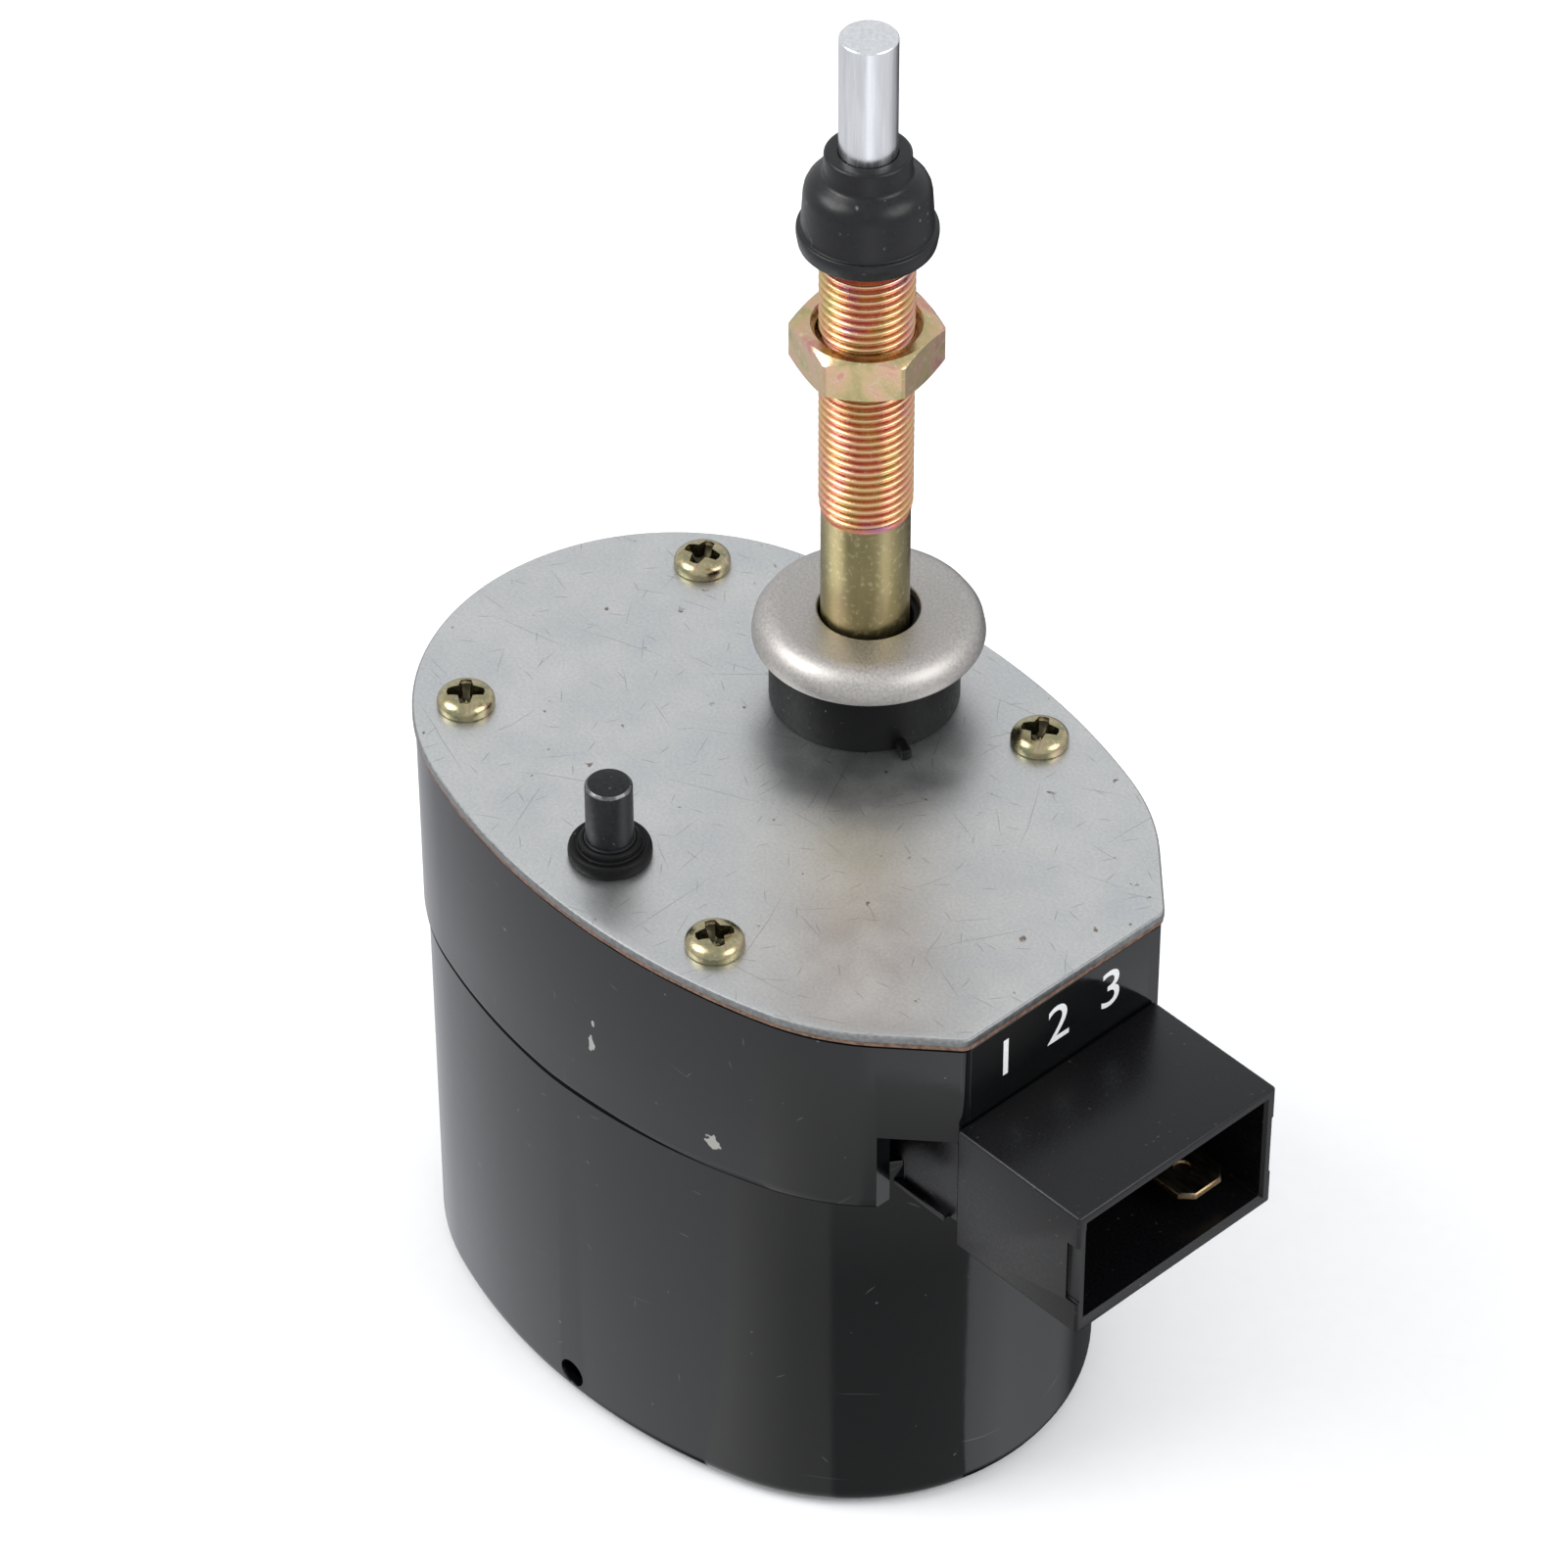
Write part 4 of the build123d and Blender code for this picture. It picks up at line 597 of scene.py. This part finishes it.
def oval(inset, z):
    """The cover's outline moved in by inset."""
    side_r, join = bulge(END_R, HALF_W, END_OUT)
    left, right, r, lift = MID_X - END_OUT, MID_X + END_OUT, END_R - inset, side_r - HALF_W
    turn = acos((FLAT_X - right) / (END_R + CORNER_OUT)) + acos(END_R / (END_R + CORNER_OUT))
    rounding = max(1.6 - inset, 0.05)
    x = FLAT_X - right - inset - rounding
    y = (r - rounding - x * cos(turn)) / sin(turn)
    return along([(left, MID_Y, r, pi - join, pi + join, 60),
                  (MID_X, MID_Y + lift, side_r - inset, pi + join, 2 * pi - join, 30),
                  (right, MID_Y, r, -join, -turn, 12), (right + x, MID_Y - y, rounding, -turn, 0, 8),
                  (right + x, MID_Y + y, rounding, 0, turn, 8), (right, MID_Y, r, turn, join, 12),
                  (MID_X, MID_Y - lift, side_r - inset, join, pi - join, 30)], z)


def can_ring(inset, z):
    """The can's outline moved in by inset, with as many points as the oval has."""
    side_r, join = bulge(CAN_END_R, CAN_HALF_W, CAN_END_OUT)
    r, lift = CAN_END_R - inset, side_r - CAN_HALF_W
    return along([(CAN_MID_X - CAN_END_OUT, MID_Y, r, pi - join, pi + join, 60),
                  (CAN_MID_X, MID_Y + lift, side_r - inset, pi + join, 2 * pi - join, 30),
                  (CAN_MID_X + CAN_END_OUT, MID_Y, r, -join, join, 43),
                  (CAN_MID_X, MID_Y - lift, side_r - inset, join, pi - join, 30)], z)


print("oval points", len(oval(0, 0)), "can points", len(can_ring(0, 0)))

# %% Cover plate
plate = skin("cover_plate_dressed", [oval(i, z) for i, z in soften([
    (6, -1.0, 0), (1, -1.0, 0), (0, -1.0, 0.12), (0, 0, 0.28), (1.2, 0, 0), (2.4, 0, 0)], steps=5)])
holes = [turned("hole", [(4.75, -2, 0), (4.75, 1, 0)]), turned("hole", [(2.75, -2, 0), (2.75, 1, 0)], PIN)]
holes += [turned("hole", [(1.6, -2, 0), (1.6, 1, 0)], place, columns=48) for place in SCREWS]
fit(cut(plate, *holes), "housing", "zinc_plate", zinc, "cover_plate")
# Everything but the upper face is the punched edge, where the steel was sheared.
second_finish(plate.data, sheared, lambda face: face.normal.z < 0.9)

# %% Gasket
def gasket_edge(inset, z):
    """The gasket is knifed from soft sheet, so its edge wanders by a tenth of a millimetre."""
    out = []
    for x, y, _ in oval(inset, z):
        wander = 0.06 * noise.noise(Vector((x, y, 0)) * 0.35) + 0.03 * noise.noise(Vector((x, y, 5)) * 1.7)
        away = Vector((x - 5, y - MID_Y)).normalized() * wander
        out.append((x + away.x, y + away.y, z))
    return out


gasket = skin("cover_gasket_dressed", [gasket_edge(0.1, -1.5), gasket_edge(0.1, -1.0), oval(3.0, -1.0),
                                       oval(3.0, -1.5)], closed=True)
fit(gasket, "housing", "gasket_fibre", fibre, "cover_gasket")

# %% [markdown]
# ## Case and can
# The case is cast with thick walls, and its skirt laps over the can. The can is deep-drawn, so its bottom edge is
# a 2.4 mm round. The skirt's lower edge climbs towards the connector, and its end is cut away there.
# One closed skin gives the case its outside, its rim, its chamber and its room for the can in one go. The dark lines
# at the skirt's foot and under the gasket are shade, and could be deep grooves, but they are too thin for that, so a
# few faces get a painted shadow in flat black instead.

# %% Case
def skirt(x):
    """The skirt's lower edge, which climbs by 2.8 mm from the shaft's axis to the case's end."""
    return -27.2 + 2.8 * max(0.0, x) / 40.4


def bare(x):
    """How much of the skirt's lowest 0.8 mm gets the painted shadow: all of it at the back, little near the notch."""
    return min(1.0, max(0.3, (30 - x) / 22))


outer = soften([(0.3, -22, 0), (0.3, -1.5, 0.45), (1.4, -1.5, 0), (3.0, -1.5, 0)])
case_rings = [can_ring(-0.05, -23), can_ring(-0.05, lambda x: skirt(x) + 0.1), can_ring(-0.05, skirt),
              oval(0.42, skirt), oval(0.36, lambda x: skirt(x) + 0.3 * bare(x)),
              oval(0.3, lambda x: skirt(x) + 0.8 * bare(x)), oval(0.3, lambda x: skirt(x) + 1.2)]
case_rings += [oval(i, z) for i, z in outer] + [oval(3.0, -2.5), oval(3.0, -20.5), oval(3.4, -21), oval(6, -21)]
NOTCH_X, NOTCH_TOP = 39.4, -14.5
# Behind the notch a pocket leaves a wall of 2.3 mm, so the connector's block shows right beside it.
case = cut(skin("gear_case_dressed", case_rings), brick("notch", (NOTCH_X, -50, -30), (48, 20, NOTCH_TOP)),
           brick("pocket", (34.8, -33.6, -31), (41, -1, NOTCH_TOP)))
fit(case, "housing", "black_enamel", case_enamel, "gear_case")


def is_seam(face):
    """The skirt's foot as far as the notch, and the rounded rim under the gasket: painted shadow, read as dark lines.
    """
    x, y, z = face.center / MM
    foot = skirt(x) - 0.01 < z < skirt(x) + 0.79 * bare(x) and abs(face.normal.z) < 0.9 and x < NOTCH_X - 0.1
    return foot or (-1.93 < z < -1.5 and face.normal.z < 0.99)


second_finish(case.data, seam_shadow, is_seam)

# %% Can
can = skin("motor_can_dressed", [can_ring(i, z) for i, z in soften([
    (10, -74.1, 0), (0.9, -74.1, 2.1), (0.9, -23.05, 0.2), (0.0, -23.05, 0.2), (0.0, -75, 2.4), (6, -75, 0),
    (10, -75, 0)], steps=8)])
DRAIN_X, DRAIN_Z = 1.3, -71.4
drain = skin("drain", [[(DRAIN_X + x, y, DRAIN_Z + z) for x, z, _ in circle(r, 0, columns=64)]
                       for y, r in ((-47, 1.95), (-44.65, 1.72), (-44.4, 1.6), (-42, 1.6))])
fit(cut(can, drain), "housing", "black_enamel", can_enamel, "motor_can")

# %% [markdown]
# ## Cover screws
# They are pan heads with a cross recess, plated yellow. The recess is a tapered plus sign with a pointed bottom.
# It could be drawn as a bump, but a real cut catches light on its walls, and those walls also get a painted shade in
# a darker chromate. One mesh is shared by all four, each turned as its own screw happened to stop.

# %% Screws
def cross_ring(tip, half, root, z):
    """One level of the recess: four wings of some half width, joined by slanted roots."""
    wing = [(tip, -half), (tip + 0.12, 0.0), (tip, half), (root, root)]
    turns = [(1, 0), (0, 1), (-1, 0), (0, -1)]
    return [(x * c - y * s, x * s + y * c, z) for c, s in turns for x, y in wing]


head = [(3.02, 0.0, 0), (3.1, 0.12, 0)] + [
    (3.1 * cos(a) ** 0.8, 0.5 + 1.4 * sin(a) ** 0.9, 0) for a in (k * pi / 2 / 14 for k in range(14))]
screw = turned("cover_screw_1", [(0.3, -7, 0), (1.1, -7, 0), (1.5, -6.5, 0), (1.5, -0.02, 0)] + head
               + [(0.35, 1.899, 0)], columns=96)
recess = skin("recess", [cross_ring(0.4, 0.10, 0.14, 0.0), cross_ring(1.1, 0.34, 0.50, 0.3),
                         cross_ring(1.8, 0.50, 0.72, 1.2), cross_ring(2.05, 0.58, 0.82, 2.2)])
screw = cut(screw, recess)
screw_mesh = screw.data
for number, ((x, y), turn) in enumerate(zip(SCREWS, (20, 47, 63, 32)), 1):
    piece = screw if number == 1 else placed(f"cover_screw_{number}", screw_mesh)
    piece.location = Vector((x, y, 0)) * MM
    piece.rotation_euler.z = radians(turn)
    fit(piece, "housing", "yellow_zinc", screw_gold, "cover_screws")


def in_recess(face):
    """Faces near the axis that lie below the head's dome, which get the painted recess shade."""
    reach, height = hypot(*face.center[:2]) / MM, face.center.z / MM
    return reach < 2.1 and 0 < height < 0.36 + 1.4 * (1 - (reach / 3.1) ** 2.5) ** 0.45


second_finish(screw_mesh, recess_shade_gold, in_recess)

# %% [markdown]
# ## Sleeve with a rolled thread
# The M10 x 1 thread is real geometry, because a bump would stay smooth at the outline. Its surface is a grid whose
# rows lean up by one pitch per turn, so crests and roots follow the helix. At its foot the thread grows out of the
# plain tube over a little more than one turn. A flange and the bore complete the sleeve.

# %% Thread
PITCH, CREST_R, ROOT_R, TUBE_R = 1.0, 4.94, 4.36, 4.7
THREAD_LOW, THREAD_TOP, COLUMNS, PER_PITCH = 24.9, 66.0, 96, 12


def thread_r(z, turn):
    """The thread's radius at a height and a turn: 60 degree flanks, a narrow crest and a rounded root."""
    phase = ((z - turn / (2 * pi) * PITCH) / PITCH) % 1.0
    flank = abs(phase - 0.5) * 2
    share = min(max((flank - 0.12) / 0.76, 0.0), 1.0)
    share = share * share * (3 - 2 * share) * 0.35 + share * 0.65
    grown = min(max((z - THREAD_LOW) / 1.3, 0.0), 1.0)
    worn_top = min(max((THREAD_TOP - z) / 0.5, 0.0), 1.0)
    full = ROOT_R + (CREST_R - ROOT_R) * share
    return TUBE_R * (1 - grown) + full * grown - 0.4 * (1 - worn_top)


def thread_rings():
    """Leaning rows, held flat at both ends."""
    rows = int((THREAD_TOP - THREAD_LOW + PITCH) / PITCH * PER_PITCH)
    rings = []
    for row in range(rows + 1):
        ring = []
        for column in range(COLUMNS):
            turn = 2 * pi * column / COLUMNS
            z = THREAD_LOW + (row / PER_PITCH + turn / (2 * pi) - 1) * PITCH
            z = min(max(z, THREAD_LOW), THREAD_TOP)
            r = thread_r(z, turn)
            ring.append((r * cos(turn), r * sin(turn), z))
        rings.append(ring)
    return rings


foot = soften([(3.83, -2.6, 0), (8.0, -2.6, 0.3), (8.0, -1.0, 0.3), (TUBE_R, -1.0, 0.2), (TUBE_R, 12, 0),
               (TUBE_R, 24.4, 0)])
bore = soften([(4.2, 66.0, 0.0), (3.83, 65.8, 0), (3.83, -2.3, 0)])
tube = [circle(r, z, columns=COLUMNS) for r, z in foot]
threads = thread_rings()
sleeve = skin("shaft_sleeve_dressed", tube + threads + [circle(r, z, columns=COLUMNS) for r, z in bore],
              closed=True, sharp=50, thread=(len(tube), len(tube) + len(threads) - 1, PER_PITCH))
fit(sleeve, "housing", "yellow_zinc", tube_gold, "shaft_sleeve")
second_finish(sleeve.data, thread_gold,
              lambda face: face.center.z > THREAD_LOW * MM and hypot(*face.center[:2]) > 4.2 * MM)

# %% [markdown]
# ## Mounting nut
# A thin 14 mm nut, chamfered at 26 degrees. Where that cone meets the six flats it draws the curved edges that make
# a nut look like a nut. Each column of its skin ends on the hexagon, and the chamfer's height follows from how far
# out that column reaches.

# %% Nut
NUT_LOW, NUT_TOP, NUT_HALF, NUT_DULL = 44.0, 49.0, 7.0, 0.12
NUT_TURN, NUT_SLOPE = radians(-16), tan(radians(26))


def nut_reach(turn):
    """Distance from the axis to the hexagon's side in one direction, its corners dulled."""
    away = (turn - NUT_TURN + pi / 6) % (pi / 3) - pi / 6
    return min(NUT_HALF / cos(pi / 6 - abs(away)), NUT_HALF / cos(pi / 6) - NUT_DULL)


def nut_rings():
    turns = [2 * pi * k / 240 + NUT_TURN for k in range(240)]
    flat_r = NUT_HALF - NUT_DULL

    def ring(r, z):
        return [(r * cos(t), r * sin(t), z) for t in turns]

    def side(edge, up, inward):
        """The curved edge where the chamfer meets the flats, moved in to dull it."""
        return [((far - inward) * cos(t), (far - inward) * sin(t),
                 edge + up * ((far - flat_r) * NUT_SLOPE + 0.1 - inward))
                for t, far in zip(turns, map(nut_reach, turns))]

    return [ring(5.0, NUT_LOW + 0.75), ring(5.7, NUT_LOW + 0.05), ring(5.78, NUT_LOW), ring(flat_r, NUT_LOW),
            *(side(NUT_LOW, 1, inward) for inward in (0.1, 0.03, 0.0)),
            *(side(NUT_TOP, -1, inward) for inward in (0.0, 0.03, 0.1)), ring(flat_r, NUT_TOP),
            ring(5.78, NUT_TOP), ring(5.7, NUT_TOP - 0.05), ring(5.0, NUT_TOP - 0.75)]


nut = skin("mounting_nut_dressed", nut_rings(), closed=True, sharp=24)
fit(nut, "nut", "yellow_zinc", nut_gold, "mounting_nut")

# %% [markdown]
# ## Rubber ring and cup washer
# The washer is pressed from sheet and bead-blasted, so it is satin all over, brightest where its shoulder bends.
# Its hole is wider than the thread, and it lies 0.4 mm off the middle, as loose washers do.
# The ring under it is moulded rubber with a small nib left at its foot.

# %% Ring and washer
ring = turned("seal_ring_dressed", [(5.0, 0, 0.2), (10.15, 0, 0.15), (10.15, 10.3, 0.8), (5.0, 10.3, 0.3)],
              closed=True)
NIB_TURN = radians(-22)
nib = brick("nib", (9.2, -0.6, 0.02), (12.2, 0.6, 1.2), 0.25)
nib.data.transform(Matrix.Rotation(NIB_TURN, 4, "Z"))
fit(cut(ring, nib, how="UNION"), "housing", "black_rubber", ring_rubber, "seal_ring")

washer = turned("cup_washer_dressed", [
    (5.38, 10.3, 0.2), (5.38, 11.5, 0.3), (9.35, 11.5, 0), (12.35, 11.5, 3.0), (12.35, 8.1, 0.3),
    (11.15, 8.1, 0.3), (11.15, 10.3, 1.8), (9.3, 10.3, 0)], (0.27, 0.29), closed=True, columns=192)
fit(washer, "washer", "grey_zinc", blasted, "cup_washer")

# %% [markdown]
# ## Boot and output shaft
# The boot is one rubber moulding: a base flange, a groove, a cone, a rounded shoulder and a narrow neck with a lip
# that wipes the shaft. The shaft is ground steel, plain and round, with a small chamfer.

# %% Boot and shaft
boot = turned("sleeve_boot_dressed", [
    (4.99, 59.1, 0.2), (7.0, 59.1, 0.35), (7.25, 60.6, 0.3), (7.2, 61.2, 0.15), (6.8, 61.3, 0.1),
    (6.75, 61.6, 0.15), (6.45, 66.6, 1.3), (4.5, 67.7, 0.4), (4.45, 70.3, 0.35), (3.06, 70.3, 0.08),
    (3.06, 69.7, 0.05), (3.3, 69.3, 0.1), (3.3, 68.8, 0.2), (4.99, 67.0, 0.3)], closed=True)
fit(boot, "housing", "black_rubber", rubber, "sleeve_boot")

shaft = turned("output_shaft_dressed", [
    (0.5, -9.8, 0), (3.2, -9.8, 0.3), (3.2, 66.5, 0), (2.9, 66.5, 0), (2.9, 67.1, 0), (3.2, 67.1, 0),
    (3.2, 69.1, 0.05), (3.0, 69.3, 0), (3.0, 83.85, 0.06), (2.88, 84.0, 0.04), (1.5, 84.0, 0), (0.5, 84.0, 0)])
fit(shaft, "output", "bright_steel", ground, "output_shaft")

# %% [markdown]
# ## Locating pin and grommet
# A blackened steel pin stands in a dished rubber grommet. Assembly has rubbed the black off the pin's rim, which is
# the thin bright line that makes it read as metal; those few faces get the bare steel as a second material.

# %% Pin and grommet
pin = turned("locating_pin_dressed", [
    (0.5, -1.5, 0), (3.2, -1.5, 0.1), (3.2, -1.0, 0), (2.7, -1.0, 0), (2.7, 2.35, 0.05), (2.5, 2.4, 0.05),
    (2.5, 9.3, 0.12), (2.2, 9.62, 0.1), (1.2, 9.7, 0), (0.4, 9.7, 0)], PIN)
fit(pin, "housing", "black_oxide", oxide, "locating_pin")
second_finish(pin.data, rubbed, lambda face: face.center.z > 9.3 * MM and 0.2 < face.normal.z < 0.9)
grommet = turned("pin_grommet_dressed", [
    (2.75, 0, 0), (4.35, 0, 0.15), (4.45, 0.9, 0.5), (4.1, 1.6, 0.4), (3.3, 1.3, 0.3), (3.25, 2.3, 0.4),
    (2.75, 2.3, 0.08)], PIN, closed=True)
fit(grommet, "housing", "black_rubber", ring_rubber, "pin_grommet")

# %% [markdown]
# ## Connector
# The socket is a thin-walled nylon moulding. Bevelled blocks are joined and cut with booleans, as the mould's own
# cores would, and the mouth's inner edge gets a lead-in chamfer. Three blade tabs stand inside.

# %% Connector
def frame_ring(inset, x):
    low_y, high_y, low_z, high_z = -29.3 + inset, -3.7 - inset, -27.0 + inset, -13.3 - inset
    return [(x, low_y, low_z), (x, high_y, low_z), (x, high_y, high_z), (x, low_y, high_z)]


socket = brick("connector_housing_dressed", (46.0, -30.6, -28.3), (63.6, -2.4, -12.0), 0.35)
block = brick("block", (35.2, -29.8, -26.2), (46.4, -3.2, -14.75), 0.3)
rails = [brick("rail", (35.2, low, -26.2), (44.4, low + 1.2, -25.5), 0.15) for low in (-30.6, -3.6)]
cut(socket, block, *rails, how="UNION")
cavity = brick("cavity", (49.1, -29.3, -27.0), (66, -3.7, -13.3), 0.5)
lead_in = skin("lead_in", [frame_ring(0.0, 63.2), frame_ring(-0.4, 63.8)])
reliefs = [brick("relief", (62.0, low, -24.15), (64.1, low + 0.8, -16.15), 0.1) for low in (-31.0, -2.8)]
groove = brick("groove", (61.0, -29.65, -26.5), (64.1, -29.0, -14.0), 0.1)
cut(socket, cavity, lead_in, *reliefs, groove, skin("can_room", [can_ring(-0.25, -31), can_ring(-0.25, -22.8)]))
fit(socket, "housing", "black_plastic", nylon, "connector_housing")

# %% Tabs
def blade_ring(middle, z, inset):
    tip, low, high, bevel = 61.0 - inset, middle - 3.15 + inset, middle + 3.15 - inset, 1.3
    return [(47.2, low, z), (tip - bevel, low, z), (tip, low + bevel, z), (tip, high - bevel, z),
            (tip - bevel, high, z), (47.2, high, z)]


tabs = []
for middle, height in ((-24.0, -15.7), (-16.5, -15.7), (-9.0, -24.0)):
    tab = skin("terminal_tabs_dressed" if not tabs else "tab", [
        blade_ring(middle, height - 0.4, 0.14), blade_ring(middle, height - 0.26, 0.0),
        blade_ring(middle, height + 0.26, 0.0), blade_ring(middle, height + 0.4, 0.14)])
    tabs.append(cut(tab, turned("dimple", [(0.5, height + 0.12, 0), (0.85, height + 0.16, 0),
                                           (1.05, height + 0.6, 0)], (57.22, middle), columns=48)))
tabs = cut(*tabs, how="UNION")
fit(tabs, "housing", "brass_tab", dull_brass, "terminal_tabs")
second_finish(tabs.data, cut_brass, lambda face: abs(face.normal.z) < 0.8)

# %% [markdown]
# ## Terminal numbers
# A gloss film strip on the flat carries a plain number over each terminal. Text objects turn into meshes, so the
# numbers are real pieces a fiftieth of a millimetre thick, like screen print.

# %% Label strip and numbers
strip = brick("terminal_strip", (45.9, -28.9, -11.9), (46.12, -3.4, -1.7), 0.08)
fit(strip, "housing", "black_plastic", film)
for number, middle in ((1, -24.0), (2, -16.5), (3, -9.0)):
    text = bpy.data.curves.new(f"digit_{number}", "FONT")
    text.body, text.size, text.extrude = str(number), 7.0 * MM, 0.01 * MM
    text.align_x, text.align_y = "CENTER", "CENTER"
    holder = placed("holder", text)
    bpy.context.view_layer.update()
    mesh = bpy.data.meshes.new_from_object(holder.evaluated_get(bpy.context.evaluated_depsgraph_get()))
    bpy.data.objects.remove(holder)
    mesh.transform(Matrix(((0, 0, 1, 46.135 * MM), (1, 0, 0, middle * MM), (0, 1, 0, -6.2 * MM), (0, 0, 0, 1))))
    fit(placed(f"terminal_number_{number}", mesh), "housing", "black_plastic", print_white)

# %% [markdown]
# ## Inside the case
# Nobody sees the motor and the gears in the picture, but the model opens up when it is taken apart, so each CAD
# piece gets the finish of what it is made of. Their shapes are right as they are.

# %% Hidden pieces
inside = {
    "sintered_bronze": worked("sintered_bronze", "#7d5a34", "#a47a48", 0.3, 0.5, metallic=1.0),
    "white_acetal": worked("moulded_acetal", "#dcdbd3", "#ecebe4", 0.8, 0.4, ior=1.48),
    "brass_strip": worked("sprung_brass_strip", "#b08d4a", "#c8a45c", 0.5, 0.3, metallic=1.0),
    "brown_phenolic": worked("phenolic_paper_laminate", "#4a2a18", "#65402a", 0.6, 0.5, ior=1.6),
    "yoke_steel": worked("zinc_plated_yoke_steel", "#8f9396", "#a8abad", 0.6, 0.4, metallic=1.0),
    "ferrite": worked("sintered_ferrite", "#2b2c2e", "#3a3b3d", 0.4, 0.6),
    "lamination_steel": worked("stamped_lamination_steel", "#6a6d70", "#8a8d8f", 0.5, 0.4, metallic=1.0,
                               stretch=(0.3, 0.3, 1.0)),
    "copper_wire": worked("enamelled_copper_wire", "#8a3f20", "#b8602f", 0.5, 0.3, metallic=1.0),
    "copper_bar": worked("turned_copper_bar", "#b06a45", "#cc8459", 0.4, 0.3, metallic=1.0,
                         stretch=(1.0, 1.0, 4.0)),
    "carbon": worked("pressed_carbon", "#1b1b1c", "#2a2a2b", 0.3, 0.6),
    "bright_steel": ground, "black_oxide": oxide, "yellow_zinc": screw_gold, "black_plastic": nylon,
}
for row in frame["record"]["subparts"]:
    node = frame["nodes"][row["node"]]
    if not node.hide_render:
        for place in node.material_slots:
            place.material = inside[row["material_slot"]]
        print(row["node"], "is", row["material_slot"])
